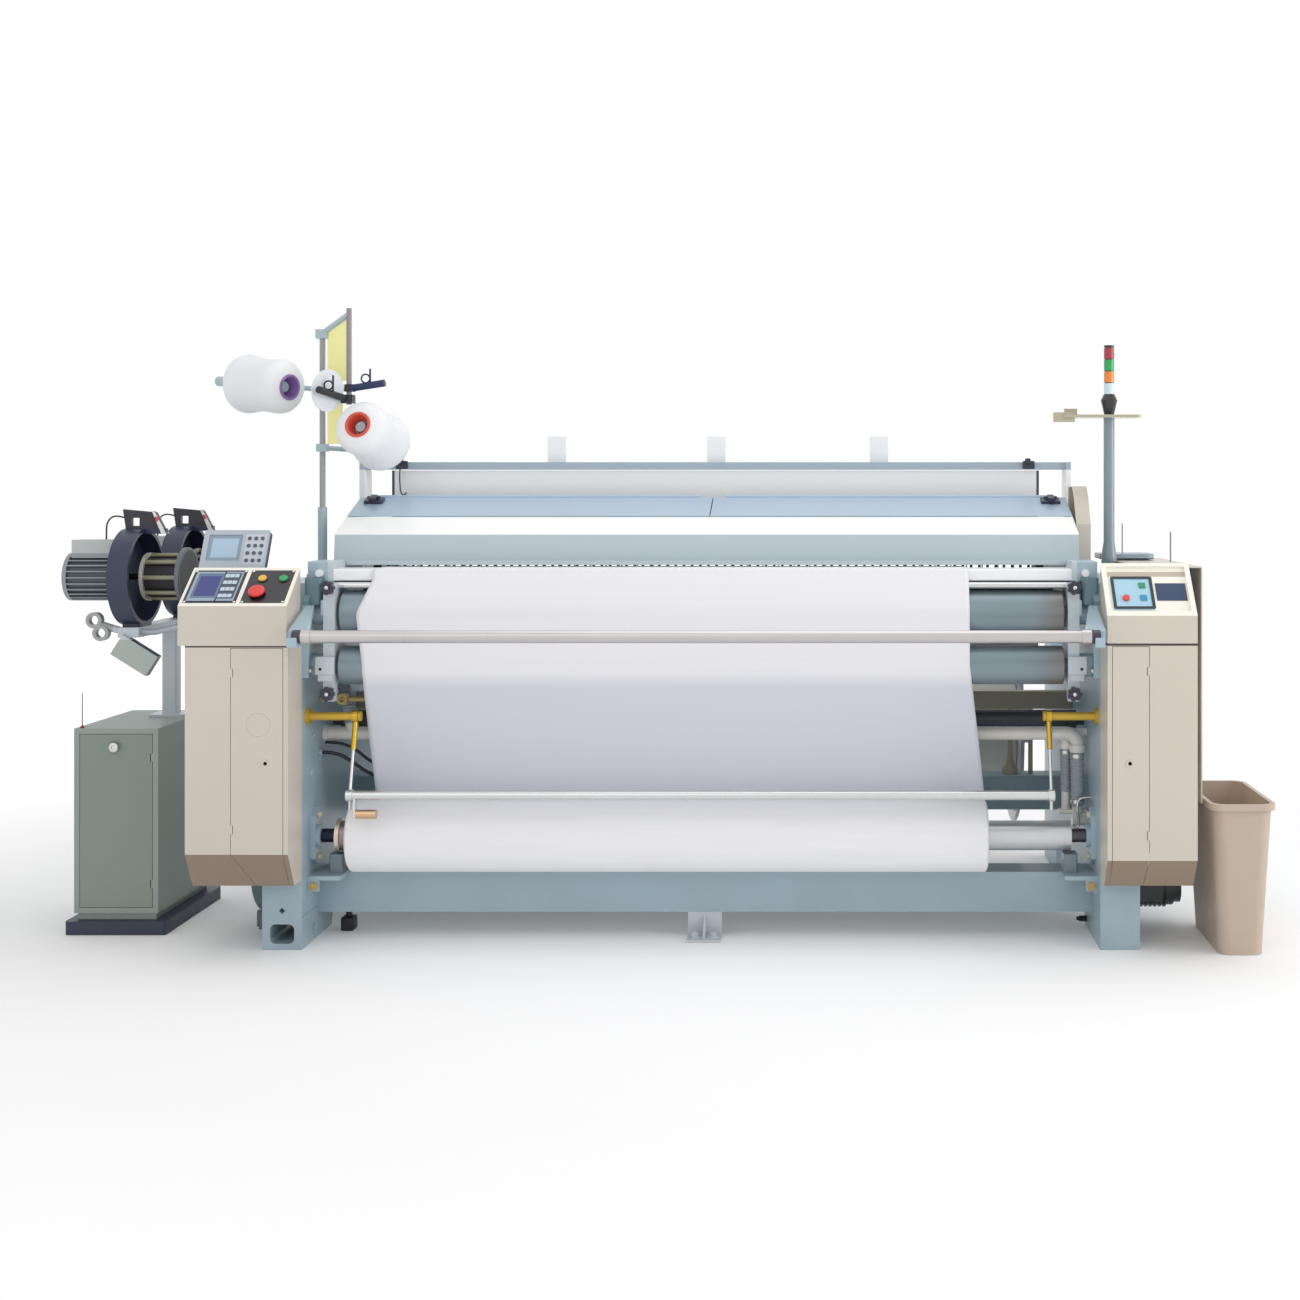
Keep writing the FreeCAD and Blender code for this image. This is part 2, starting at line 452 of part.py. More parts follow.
def lever():
    """The right-hand lever: eye, flat yellow arm, thin rod and the bar's socket."""
    reach = V(0, BAR_Y - PIVOT_Y, BAR_Z - PIVOT_Z)
    eye_out = LEVER_X + LEVER_WIDE / 2
    eye_in = LEVER_X - LEVER_WIDE / 2
    eye = rod_x(EYE_R, eye_in, eye_out, PIVOT_Y, PIVOT_Z)
    pivot = V(LEVER_X, PIVOT_Y, PIVOT_Z)
    end = V(LEVER_X, BAR_Y, BAR_Z)
    half_way = pivot.add(V(reach.x, reach.y, reach.z).multiply(0.42))
    arm = rod(LEVER_WIDE / 2 - 0.5, pivot, half_way)
    wire = rod(4.5, half_way.sub(V(reach.x, reach.y, reach.z).multiply(0.02)), end)
    socket = rod_x(BAR_R + 3.5, LEVER_X - 9, LEVER_X + 9, BAR_Y, BAR_Z)
    tail = rod_z(5, BAR_Z - 42, BAR_Z, LEVER_X, BAR_Y)
    whole = joined(eye, arm, wire, socket, tail)
    return whole.cut(rod_x(JOURNAL_R + RUN_GAP, eye_in - 1, eye_out + 1, PIVOT_Y, PIVOT_Z))


def stop_bar():
    """The bright bar with both levers, and the grip that hangs at its left end."""
    bar = rod_x(BAR_R, -LEVER_X, LEVER_X, BAR_Y, BAR_Z)
    strap = block(-LEVER_X + 12, -LEVER_X + 18, BAR_Y - 10, BAR_Y + 10, BAR_Z - 64, BAR_Z)
    grip = rod_x(13, -LEVER_X + 18, -LEVER_X + 76, BAR_Y, BAR_Z - 54)
    right = lever()
    return joined(bar, right, mirrored(right), strap, grip)


right_stub = pivot_stub()
save("stop_bar_pivots", right_stub, mirrored(right_stub))
save("stop_bar", stop_bar())


# ---- Cloth roll, its supports and the web of cloth ------------------------------------------
def cloth_roll():
    """The wound cloth: one solid, with the last turns a little uneven at its ends."""
    body = rod_x(ROLL_R, ROLL_LEFT, ROLL_RIGHT, ROLL_Y, ROLL_Z)
    for step, radius in ((4.0, ROLL_R - 4), (3.0, ROLL_R - 16), (2.0, CORE_R + 22)):
        for end in (ROLL_LEFT, ROLL_RIGHT - step):
            ring = rod_x(ROLL_R + 1, end, end + step, ROLL_Y, ROLL_Z)
            body = body.cut(ring.cut(rod_x(radius, end - 1, end + step + 1, ROLL_Y, ROLL_Z)))
    return body.cut(rod_x(CORE_R, ROLL_LEFT - 1, ROLL_RIGHT + 1, ROLL_Y, ROLL_Z))


def roll_core():
    """The bright core tube with a collar near its left end and a dark shaft."""
    tube = rod_x(CORE_R, -CORE_REACH, CORE_REACH, ROLL_Y, ROLL_Z)
    collar = rod_x(CORE_COLLAR_R, -CORE_REACH, -CORE_REACH + 12, ROLL_Y, ROLL_Z)
    shaft = rod_x(CORE_SHAFT_R, -INNER + 3, INNER - 3, ROLL_Y, ROLL_Z)
    return joined(tube, collar, shaft)


def roll_support():
    """The right-hand bearing plate with two bolts, and the shelf with its pad."""
    thick = 26.0
    plate = prism_x([(ROLL_Y - 34, ROLL_Z - 62), (ROLL_Y, ROLL_Z - 84), (ROLL_Y + 34, ROLL_Z - 62),
                     (ROLL_Y + 34, ROLL_Z + 62), (ROLL_Y, ROLL_Z + 84), (ROLL_Y - 34, ROLL_Z + 62)],
                    INNER - 14, INNER)
    hub = rod_x(34, INNER - thick, INNER, ROLL_Y, ROLL_Z)
    bolts = [rod_x(9, INNER - 22, INNER - 13, ROLL_Y, ROLL_Z + lift) for lift in (-62, 62)]
    shelf_top = ROLL_Z - 105
    shelf_back = BEAM_FRONT - 5
    shelf = block(INNER - 96, INNER, ROLL_Y - 70, shelf_back, shelf_top - 12, shelf_top)
    cheek = prism_x([(ROLL_Y - 70, shelf_top), (ROLL_Y - 70, shelf_top - 50), (shelf_back, shelf_top - 30),
                     (shelf_back, shelf_top)], INNER - 12, INNER)
    nut = rod_y(11, ROLL_Y - 80, ROLL_Y - 70, INNER - 20, shelf_top - 28)
    lug = block(INNER - 34, INNER, ROLL_Y - 71, ROLL_Y - 58, shelf_top - 44, shelf_top)
    pad_top = ROLL_Z - CORE_COLLAR_R - 1
    pad = block(INNER - 92, INNER - 52, ROLL_Y - 30, ROLL_Y + 30, shelf_top, pad_top)
    whole = joined(plate, hub, *bolts, shelf, cheek, lug, nut, rounded(pad, 6, Z_AXIS))
    return whole.cut(rod_x(CORE_SHAFT_R + RUN_GAP, INNER - 120, INNER - 2, ROLL_Y, ROLL_Z))


def wrap_edges(circles, start, extra):
    """The edge of a web that passes round circles, each on its left (+1) or right (-1)."""
    def radius(index):
        y, z, size, side = circles[index]
        return size + SEAT_GAP + (extra if side > 0 else CLOTH_THICK - extra)

    headings = [math.pi]
    for index in range(len(circles) - 1):
        y0, z0, size0, side0 = circles[index]
        y1, z1, size1, side1 = circles[index + 1]
        gap = math.hypot(y1 - y0, z1 - z0)
        lean = math.asin((side1 * radius(index + 1) - side0 * radius(index)) / gap)
        headings.append(math.atan2(z1 - z0, y1 - y0) % (2 * math.pi) - lean)
    headings.append(headings[-1] - math.radians(12))

    def touch(index, heading):
        y, z, size, side = circles[index]
        reach = side * radius(index)
        return V(0, y + reach * math.sin(heading), z - reach * math.cos(heading))

    edges = []
    last = V(0, start, touch(0, headings[0]).z)
    for index in range(len(circles)):
        entry = touch(index, headings[index])
        leave = touch(index, headings[index + 1])
        middle = touch(index, (headings[index] + headings[index + 1]) / 2)
        edges.append(Part.LineSegment(last, entry).toShape())
        edges.append(Part.Arc(entry, middle, leave).toShape())
        last = leave
    return edges, V(0, start, touch(0, headings[0]).z), last


def cloth_web():
    """The cloth from the fell over the breast plate, round both rollers and down to the roll."""
    nose_z = BREAST_TOP - BREAST_NOSE
    circles = [(BREAST_FRONT + BREAST_NOSE, nose_z, BREAST_NOSE, 1), (TAKE_UP_Y, TAKE_UP_Z, TAKE_UP_R, 1),
               (PRESS_Y, PRESS_Z, PRESS_R, 1), (ROLL_Y, ROLL_Z, ROLL_R, -1)]
    near, near_start, near_end = wrap_edges(circles, FELL_Y, 0.0)
    far, far_start, far_end = wrap_edges(circles, FELL_Y, CLOTH_THICK)
    caps = [Part.LineSegment(near_start, far_start).toShape(), Part.LineSegment(near_end, far_end).toShape()]
    wire = Part.Wire(Part.__sortEdges__(near + far + caps))
    sheet = Part.Face(wire).extrude(V(WOUND_RIGHT - TAKE_UP_LEFT, 0, 0))
    sheet.translate(V(TAKE_UP_LEFT, 0, 0))
    top, low, roll_top = BREAST_TOP + 20, ROLL_Z - 20, ROLL_Z + ROLL_R
    edges = prism_y([(FELL_LEFT, top), (CLOTH_RIGHT, top), (CLOTH_RIGHT, PRESS_Z), (WOUND_RIGHT, roll_top),
                     (WOUND_RIGHT, low), (WOUND_LEFT, low), (WOUND_LEFT, roll_top), (PRESS_LEFT, PRESS_Z),
                     (TAKE_UP_LEFT, TAKE_UP_Z), (FELL_LEFT, BREAST_TOP - BREAST_DEEP)],
                    BREAST_FRONT - 2 * TAKE_UP_R, FELL_Y + 1)
    return sheet.common(edges)


save("cloth_roll", cloth_roll())
save("roll_core", roll_core())
right_support = roll_support()
save("roll_supports", right_support, mirrored(right_support))
save("cloth_web", cloth_web())


# ---- Column covers and their doors ------------------------------------------------------------
def column_shell(out, top, chamfer):
    """The right-hand sheet cover: front, inner return, outer side, top and folded chamfer."""
    wall = COVER_WALL
    side_in = OUTER + SEAT_GAP
    plan_out = [(INNER, FRAME_FRONT - SEAT_GAP), (INNER, COVER_FRONT), (out, COVER_FRONT), (out, COVER_BACK),
                (side_in, COVER_BACK), (side_in, FRAME_FRONT - SEAT_GAP)]
    plan_in = [(INNER + wall, FRAME_FRONT + 1), (INNER + wall, COVER_FRONT + wall),
               (out - wall, COVER_FRONT + wall), (out - wall, COVER_BACK - wall),
               (side_in - 1, COVER_BACK - wall), (side_in - 1, FRAME_FRONT + 1)]
    foot = COVER_FOOT
    outside = prism_z(plan_out, foot, top)
    inside = prism_z(plan_in, foot - 1, top - wall)
    knee = foot + chamfer
    slope = math.atan2(CHAMFER_IN, chamfer)
    shift = wall / math.cos(slope)
    front, tuck = COVER_FRONT, COVER_FRONT + CHAMFER_IN
    cut_out = prism_x([(front - 1, knee), (front - 1, foot - 1), (tuck, foot - 1), (tuck, foot),
                       (front, knee)], INNER - 1, out + 1)
    cut_in = prism_x([(front, foot - 2), (tuck + shift, foot - 2), (tuck + shift, foot), (front + shift, knee),
                      (front, knee)], INNER - 2, out + 2)
    return outside.cut(cut_out).cut(inside.cut(cut_in))


def hung(sheet, door, seam, front, heights):
    """A sheet and its door on pins: lugs on the sheet's edge stand in notches of the door's edge."""
    middle = front + COVER_WALL / 2
    axis_x = seam - PANEL_GAP - HINGE_IN
    half = LUG_TALL / 2
    for z in heights:
        web = block(axis_x, seam, front, front + COVER_WALL, z - half, z + half)
        barrel = rod_z(COVER_WALL / 2, z - half, z + half, axis_x, middle)
        pin = rod_z(PIN_R, z - half - PIN_REACH, z + half + PIN_REACH, axis_x, middle)
        sheet = joined(sheet, web, barrel, pin)
        notch = block(axis_x - NOTCH_IN, seam, front - 1, front + COVER_WALL + 1, z - half - SEAT_GAP,
                      z + half + SEAT_GAP)
        bore = rod_z(PIN_R + RUN_GAP, z - half - PIN_REACH - 1, z + half + PIN_REACH + 1, axis_x, middle)
        door = door.cut(notch).cut(bore)
    return sheet, door


def column_parts(out, top, chamfer, seam, lean):
    """The cover with its doorway, and the door that fills it, drawn on the right."""
    shell = column_shell(out, top, chamfer)
    foot = COVER_FOOT
    near = INNER + DOOR_EDGE
    knee = foot + chamfer
    head = top - DOOR_HEAD

    def outline(gap):
        return [(near + gap, head - gap), (near + gap, foot - 5), (seam - lean - gap, foot - 5),
                (seam - lean - gap, foot), (seam - gap, knee), (seam - gap, head - gap)]

    front_slab_end = COVER_FRONT + CHAMFER_IN + COVER_WALL + 8
    doorway = prism_y(outline(0), COVER_FRONT - 1, front_slab_end)
    door = shell.common(prism_y(outline(PANEL_GAP), COVER_FRONT - 1, front_slab_end))
    lock_x, lock_z = near + LOCK_IN, foot + LOCK_UP
    lock = rod_y(LOCK_R, COVER_FRONT - 2, COVER_FRONT + COVER_WALL, lock_x, lock_z)
    keyhole = rod_y(LOCK_R / 2, COVER_FRONT - 3, COVER_FRONT + COVER_WALL + 1, lock_x, lock_z)
    stiffener = block(near + 30, seam - 20, COVER_FRONT + COVER_WALL, COVER_FRONT + COVER_WALL + 14,
                      knee + 40, knee + 44)
    door = joined(door, lock, stiffener).cut(keyhole)
    return hung(shell.cut(doorway), door, seam, COVER_FRONT, (knee + HINGE_FROM_END, head - HINGE_FROM_END))


right_cover, right_door = column_parts(RIGHT_OUT, RIGHT_COVER_TOP, RIGHT_CHAMFER, RIGHT_SEAM, 8)
left_cover, left_door = column_parts(LEFT_OUT, LEFT_COVER_TOP, LEFT_CHAMFER, LEFT_SEAM, 52)
save("right_column_cover", right_cover)
save("right_column_door", right_door)
save("left_column_cover", mirrored(left_cover))
save("left_column_door", mirrored(left_door))


# ---- Control desk on the left column ------------------------------------------------------------
def desk_button(x, along, radius, travel, mushroom):
    """A push button standing out of the desk's plate, on a stem in its bore."""
    stem = rod_z(radius * 0.6, -18, 1, x, along)
    if mushroom:
        cap = rod_z(radius, travel + 1, travel + 9, x, along)
        rims = [edge for edge in cap.Edges if abs(edge.BoundBox.ZMin - travel - 9) < 0.01
                and edge.BoundBox.ZLength < 0.01]
        cap = cap.makeFillet(5, rims)
        neck = rod_z(radius * 0.6, 0, travel + 2, x, along)
        return joined(stem, neck, cap)
    cap = rod_z(radius, -travel, travel + 2, x, along)
    rims = [edge for edge in cap.Edges if abs(edge.BoundBox.ZMin - travel - 2) < 0.01
            and edge.BoundBox.ZLength < 0.01]
    return joined(stem, cap.makeFillet(2, rims))


def sloped_housing(inner, out, foot, lip, rear_top):
    """A desk box with a sloped face, in Y and Z, between two X places."""
    rear = FRAME_FRONT - SEAT_GAP
    box = prism_x([(COVER_FRONT, foot), (COVER_FRONT, lip), (rear, rear_top), (rear, foot)], inner, out)
    hollow = prism_x([(COVER_FRONT + COVER_WALL, foot - 1), (COVER_FRONT + COVER_WALL, lip - 40),
                      (rear - COVER_WALL, rear_top - 40 - COVER_WALL), (rear - COVER_WALL, foot - 1)],
                     inner + COVER_WALL, out - COVER_WALL)
    return box.cut(hollow)


desk_in, desk_out = INNER + 4, LEFT_OUT + DESK_OVER
desk = sloped_housing(desk_in, desk_out, LEFT_COVER_TOP, DESK_LIP, DESK_TOP)
plate_low, plate_high = 12.0, DESK_LENGTH - 12.0
display_in, display_out = desk_in + 146, desk_out - 8
button_in, button_out = desk_in + 10, desk_in + 134
pockets = [block(x0 - SEAT_GAP, x1 + SEAT_GAP, plate_low - SEAT_GAP, plate_high + SEAT_GAP, -PLATE_SINK, 20)
           for x0, x1 in ((display_in, display_out), (button_in, button_out))]
button_places = {"yellow": (button_in + 0.69 * (button_out - button_in), 0.70 * DESK_LENGTH, BUTTON_R),
                 "green": (button_in + 0.21 * (button_out - button_in), 0.70 * DESK_LENGTH, BUTTON_R),
                 "red": (button_in + 0.69 * (button_out - button_in), 0.32 * DESK_LENGTH, STOP_BUTTON_R)}
wells = []
for x, along, radius in button_places.values():
    well = radius if radius == BUTTON_R else radius * 0.6
    wells.append(rod_z(well + SEAT_GAP, -BUTTON_TRAVEL * 2 - 2, 20, x, along))
    wells.append(rod_z(radius * 0.6 + SEAT_GAP, -60, 20, x, along))
cutter = placed(joined(*pockets, *wells), DESK_SLOPE, COVER_FRONT, DESK_LIP)
desk = desk.cut(cutter)
save("control_desk", mirrored(desk))


def desk_plates():
    """The display plate with its frame, screen and keys, and the button plate."""
    display = block(display_in, display_out, plate_low, plate_high, -PLATE_SINK, 0)
    split = display_in + 0.36 * (display_out - display_in)
    bezel = block(display_in + 8, display_out - 8, plate_low + 8, plate_high - 8, 0, 1.5)
    screen = block(split + 6, display_out - 16, plate_low + 20, plate_high - 16, 0, 3)
    bezel = bezel.cut(screen)
    keys = []
    for column in range(3):
        for row in range(4):
            key_x = display_in + 18 + column * (split - display_in - 22) / 2.4
            key_y = plate_low + 22 + row * (plate_high - plate_low - 44) / 3.4
            keys.append(block(key_x, key_x + 12, key_y, key_y + 14, 1, 3))
    display = joined(display, bezel, *keys)
    plate = block(button_in, button_out, plate_low, plate_high, -PLATE_SINK, 0)
    for x, along, radius in button_places.values():
        well = radius if radius == BUTTON_R else radius * 0.6
        plate = plate.cut(rod_z(well + SEAT_GAP, -20, 20, x, along))
        if radius == BUTTON_R:
            ring = rod_z(radius + 4, 0, 2, x, along).cut(rod_z(radius + SEAT_GAP, -1, 3, x, along))
            plate = joined(plate, ring)
    return [mirrored(placed(piece, DESK_SLOPE, COVER_FRONT, DESK_LIP)) for piece in (display, plate)]


save("desk_plates", *desk_plates())
for colour, (x, along, radius) in button_places.items():
    is_stop = radius == STOP_BUTTON_R
    button = desk_button(x, along, radius, STOP_TRAVEL if is_stop else BUTTON_TRAVEL, is_stop)
    save(colour + "_button", mirrored(placed(button, DESK_SLOPE, COVER_FRONT, DESK_LIP)))


# ---- Service panel on the right column --------------------------------------------------------------
panel_in, panel_out = INNER, RIGHT_OUT
panel = sloped_housing(panel_in, panel_out, RIGHT_COVER_TOP + 2, PANEL_LIP, PANEL_TOP)
face_size = PANEL_FACE
face_in = panel_in + PANEL_BORDER + 8
face_low = PANEL_BORDER + 12
recess = block(panel_in + PANEL_BORDER, panel_out - PANEL_BORDER, 16, PANEL_LENGTH - 12, -8, 30)
button_x, button_along = face_in + 0.32 * face_size, face_low + 0.33 * face_size
button_well = rod_z(BUTTON_R * 0.6 + SEAT_GAP, -50, 30, button_x, button_along)
cap_well = rod_z(BUTTON_R * 0.8 + SEAT_GAP, -8 - 2 * BUTTON_TRAVEL, 30, button_x, button_along)
panel = panel.cut(placed(joined(recess, button_well, cap_well), PANEL_SLOPE, COVER_FRONT, PANEL_LIP))


def panel_ring(inset, low, high):
    """A flat ring under the housing, from an inset inside its outline to the same inner edge."""
    outside = block(panel_in + inset, panel_out - inset, COVER_FRONT + inset, FRAME_FRONT - inset,
                    RIGHT_COVER_TOP + low, RIGHT_COVER_TOP + high)
    return outside.cut(block(panel_in + 16, panel_out - 16, COVER_FRONT + 16, FRAME_FRONT - 16,
                             RIGHT_COVER_TOP - 1, RIGHT_COVER_TOP + 9))


save("right_panel_housing", joined(panel, panel_ring(8, 0, 8), panel_ring(3, 2, 6)))


def panel_face():
    """The square bezel with its pale face and two square lamps, and the dark plate beside it."""
    low, high = face_low, face_low + face_size
    bezel = rounded(block(face_in, face_in + face_size, low, min(high, PANEL_LENGTH - 14), -8, -2), 6, Z_AXIS)
    face = block(face_in + 9, face_in + face_size - 9, low + 9, min(high, PANEL_LENGTH - 14) - 9, -4, 3)
    bezel = bezel.cut(face)
    lamp_in, lamp_out = face_in + 0.66 * face_size, face_in + 0.82 * face_size
    lamps = [block(lamp_in, lamp_out, start, start + 0.16 * face_size, -4.5, -1)
             for start in (low + 0.26 * face_size, low + 0.64 * face_size)]
    bezel = joined(bezel, *lamps)
    bezel = bezel.cut(rod_z(BUTTON_R * 0.8 + SEAT_GAP, -20, 20, button_x, button_along))
    plate_x = face_in + face_size + 8
    plate = block(plate_x, panel_out - PANEL_BORDER - 4, low + 34, low + 34 + 62, -8, -6)
    return [placed(piece, PANEL_SLOPE, COVER_FRONT, PANEL_LIP) for piece in (bezel, plate)]


panel_button = joined(rod_z(BUTTON_R * 0.6, -30, -8, button_x, button_along),
                      rod_z(BUTTON_R * 0.8, -8 - BUTTON_TRAVEL, 2, button_x, button_along))
save("right_panel_face", *panel_face())
save("right_panel_button", placed(panel_button, PANEL_SLOPE, COVER_FRONT, PANEL_LIP))


def right_rear_cover():
    """The beige cover outside the right frame, and the platform with three pins on its top."""
    front, back = FRAME_FRONT + 4, REAR_COVER_END
    inner = RIGHT_OUT + SEAT_GAP
    side = block(inner + 30, REAR_COVER_OUT, front, back, REAR_COVER_FOOT, REAR_COVER_TOP)
    back_wall = block(OUTER + SEAT_GAP, REAR_COVER_OUT, back - COVER_WALL, back, REAR_COVER_FOOT,
                      REAR_COVER_TOP)
    top = prism_x([(front, PANEL_TOP - 14), (front, PANEL_TOP - 10), (back, REAR_COVER_TOP),
                   (back, REAR_COVER_TOP - 4)], OUTER + SEAT_GAP, REAR_COVER_OUT)
    side = side.cut(block(inner, REAR_COVER_OUT - COVER_WALL, front - 1, back + 1, 0, 2000))
    platform = rounded(block(1215, 1385, 312, 472, REAR_COVER_TOP + 4, REAR_COVER_TOP + 20), 30, Z_AXIS)
    feet = block(1290, 1320, 350, 400, REAR_COVER_TOP - 4, REAR_COVER_TOP + 6)
    pins = [rod_z(2, REAR_COVER_TOP + 18, REAR_COVER_TOP + 18 + tall, x, y)
            for x, y, tall in ((1262, 400, 96), (1296, 400, 96))]
    pins.append(rod_z(2.5, REAR_COVER_TOP, REAR_COVER_TOP + 92, REAR_COVER_OUT - 30, 200))
    return joined(side, back_wall, top, platform, feet, *pins)


save("right_rear_cover", right_rear_cover())


# ---- Hood, lids and the heddle frames ---------------------------------------------------------------------
def sheet_profile(points, wall):
    """An open line in Y and Z given a wall on its inner side."""
    offset = []
    for index, (y, z) in enumerate(points):
        before = points[max(index - 1, 0)]
        after = points[min(index + 1, len(points) - 1)]
        run_y, run_z = after[0] - before[0], after[1] - before[1]
        length = math.hypot(run_y, run_z)
        offset.append((y + wall * run_z / length, z - wall * run_y / length))
    return points + offset[::-1]


def hood_front():
    """The fixed front of the hood with its end plates, lower lip and feet on the frames."""
    front = prism_x(sheet_profile(HOOD_LINE[:3], HOOD_WALL), -HOOD_REACH, HOOD_REACH)
    lip = block(-HOOD_REACH, HOOD_REACH, BREAST_BACK + 4, HOOD_LINE[0][0] + HOOD_WALL, HOOD_LINE[0][1] - 10,
                HOOD_LINE[0][1] + 2)
    drop = SEAT_GAP + 0.1
    corners = HOOD_LINE[:2] + [(y, z - drop) for y, z in HOOD_LINE[2:]]
    corners += [(HOOD_LINE[3][0], 1000), (HOOD_LINE[0][0] + 60, 1000)]
    end = prism_x(corners, HOOD_REACH - 6, HOOD_REACH)
    foot = block(HOOD_REACH - 6, INNER, 200, 340, 1000, 1030)
    rest = block(-HOOD_REACH, HOOD_REACH, HOOD_LINE[3][0] - 8, HOOD_LINE[3][0] + 8,
                 HOOD_LINE[3][1] - 50, HOOD_LINE[3][1] - 3.4)
    return joined(front, lip, end, foot, mirrored(end), mirrored(foot), rest)


def hood_lid():
    """The right-hand top lid, a folded sheet with a hinge roll along its rear edge."""
    (y0, z0), (y1, z1) = HOOD_LINE[2], HOOD_LINE[3]
    length = math.hypot(y1 - y0, z1 - z0)
    step = 2.5
    ahead = (y0 + step * (y1 - y0) / length, z0 + step * (z1 - z0) / length)
    behind = (y1 - step * (y1 - y0) / length, z1 - step * (z1 - z0) / length)
    sheet = prism_x(sheet_profile([ahead, behind], -HOOD_WALL), PANEL_GAP, HOOD_REACH - 1)
    knuckle = rod_x(KNUCKLE_R, 40, HOOD_REACH - 40, y1, z1 + KNUCKLE_LIFT)
    return joined(sheet, knuckle)


def top_beam():
    """The channel over the heddle frames, its end brackets, side guides and three posts."""
    y0, y1 = TOP_BEAM_Y, TOP_BEAM_Y + TOP_BEAM_DEEP
    z0, z1 = TOP_BEAM_LOW, TOP_BEAM_LOW + TOP_BEAM_TALL
    reach = INNER - PLATE_THICK
    trough = block(-reach + 20, reach - 20, y0 + 5, y1 - 5, z0 + 5, z1 + 1)
    channel = block(-reach, reach, y0, y1, z0, z1).cut(trough)
    posts = [block(x - POST_WIDE / 2, x + POST_WIDE / 2, y1 - 5, y1, z0, POST_TOP) for x in POST_XS]
    bracket = block(reach, INNER, y0 - 10, y1 + 20, 900, z1)
    guide = block(HEDDLE_REACH + SEAT_GAP, reach, y0, y1, 940, 1230)
    return joined(channel, *posts, bracket, mirrored(bracket), guide, mirrored(guide))


def heddle_frame(index):
    """A frame of two rails, two struts and rows of heddles, at its height for index 0 or 1."""
    y0 = TOP_BEAM_Y + 8 + index * HEDDLE_PITCH
    y1 = y0 + HEDDLE_THICK
    top = TOP_BEAM_LOW - 3 - index * HEDDLE_LIFT
    low = top - HEDDLE_TALL
    upper = block(-HEDDLE_REACH, HEDDLE_REACH, y0, y1, top - HEDDLE_RAIL, top)
    lower = block(-HEDDLE_REACH, HEDDLE_REACH, y0, y1, low, low + HEDDLE_RAIL / 2)
    struts = [block(x, x + 22, y0, y1, low, top) for x in (-HEDDLE_REACH, HEDDLE_REACH - 22)]
    pitch = (2 * HEDDLE_REACH - 60) / HEDDLE_COUNT
    heddles = []
    for count in range(1, HEDDLE_COUNT):
        x = -HEDDLE_REACH + 30 + count * pitch
        heddles.append(block(x - 1.5, x + 1.5, y0 + 4, y0 + 7, low + 20, top - 20))
    return joined(upper, lower, *struts, *heddles)


def sley():
    """The beating beam: rocking shaft, three swords, beam and the reed with its dents."""
    shaft = rod_x(SLEY_SHAFT_R, -INNER + 24, INNER - 24, SLEY_Y, SLEY_SHAFT_Z)
    ends = rod_x(ROLLER_SHAFT_R, -OUTER + 60, OUTER - 60, SLEY_Y, SLEY_SHAFT_Z)
    beam = rounded(block(-1050, 1050, SLEY_Y - 35, SLEY_Y + 25, 985, 1040), 10, X_AXIS)
    swords = [prism_x([(SLEY_Y - 34, SLEY_SHAFT_Z), (SLEY_Y + 34, SLEY_SHAFT_Z), (SLEY_Y + 20, 990),
                       (SLEY_Y - 20, 990)], x - 12, x + 12) for x in (-760, 0, 760)]
    reed = block(-1020, 1020, SLEY_Y - 30, SLEY_Y - 24, 1035, 1150)
    pitch = 2000 / REED_DENTS
    gaps = [block(-1000 + count * pitch + 4, -1000 + (count + 1) * pitch - 4, SLEY_Y - 40, SLEY_Y, 1052, 1136)
            for count in range(REED_DENTS)]
    reed = reed.cut(Part.makeCompound(gaps))
    return joined(shaft, ends, beam, *swords, reed)


save("hood_front", hood_front())
lid = hood_lid()
save("right_hood_lid", lid)
save("left_hood_lid", mirrored(lid))
save("top_beam", top_beam())
save("heddle_frame_front", heddle_frame(0))
save("heddle_frame_rear", heddle_frame(1))
save("sley", sley())


def hood_end_cover():
    """The beige cover beside the hood's right end, cranked as it goes up and back."""
    outline = [(235, 1105), (235, 1215), (290, 1300), (330, 1332), (420, 1332), (420, 1105)]
    whole = prism_x(outline, HOOD_REACH + 10, INNER + 26)
    inside = prism_x([(239, 1104), (239, 1214), (293, 1297), (332, 1328), (416, 1328), (416, 1104)],
                     HOOD_REACH + 9, INNER + 22)
    leg = block(INNER, INNER + 26, 250, 400, FRAME_TOP, 1110)
    return joined(whole.cut(inside), leg)


save("hood_end_cover", hood_end_cover())


# ---- Warp side ------------------------------------------------------------------------------------
def warp_beam():
    """Barrel, wound warp, two flanges and the shaft that runs in the frames."""
    yarn = rod_x(WARP_YARN_R, -WARP_REACH, WARP_REACH, WARP_Y, WARP_Z)
    flanges = []
    for x in (-WARP_REACH - FLANGE_THICK, WARP_REACH):
        flange = rod_x(WARP_FLANGE_R, x, x + FLANGE_THICK, WARP_Y, WARP_Z)
        for turn in range(FLANGE_HOLES):
            angle = 2 * math.pi * turn / FLANGE_HOLES
            flange = flange.cut(rod_x(FLANGE_HOLE_R, x - 1, x + FLANGE_THICK + 1,
                                      WARP_Y + FLANGE_HOLE_OUT * math.cos(angle),
                                      WARP_Z + FLANGE_HOLE_OUT * math.sin(angle)))
        flanges.append(flange)
    hub = rod_x(WARP_BARREL_R, -WARP_REACH - 60, WARP_REACH + 60, WARP_Y, WARP_Z)
    shaft = rod_x(WARP_SHAFT_R, -INNER - 50, INNER + 50, WARP_Y, WARP_Z)
    return joined(yarn, *flanges, hub, shaft)


save("warp_beam", warp_beam())
save("back_rest_roller", roller(BACK_REST_Y, BACK_REST_Z, BACK_REST_R, 1060, ROLLER_SHAFT_R, INNER + 18))


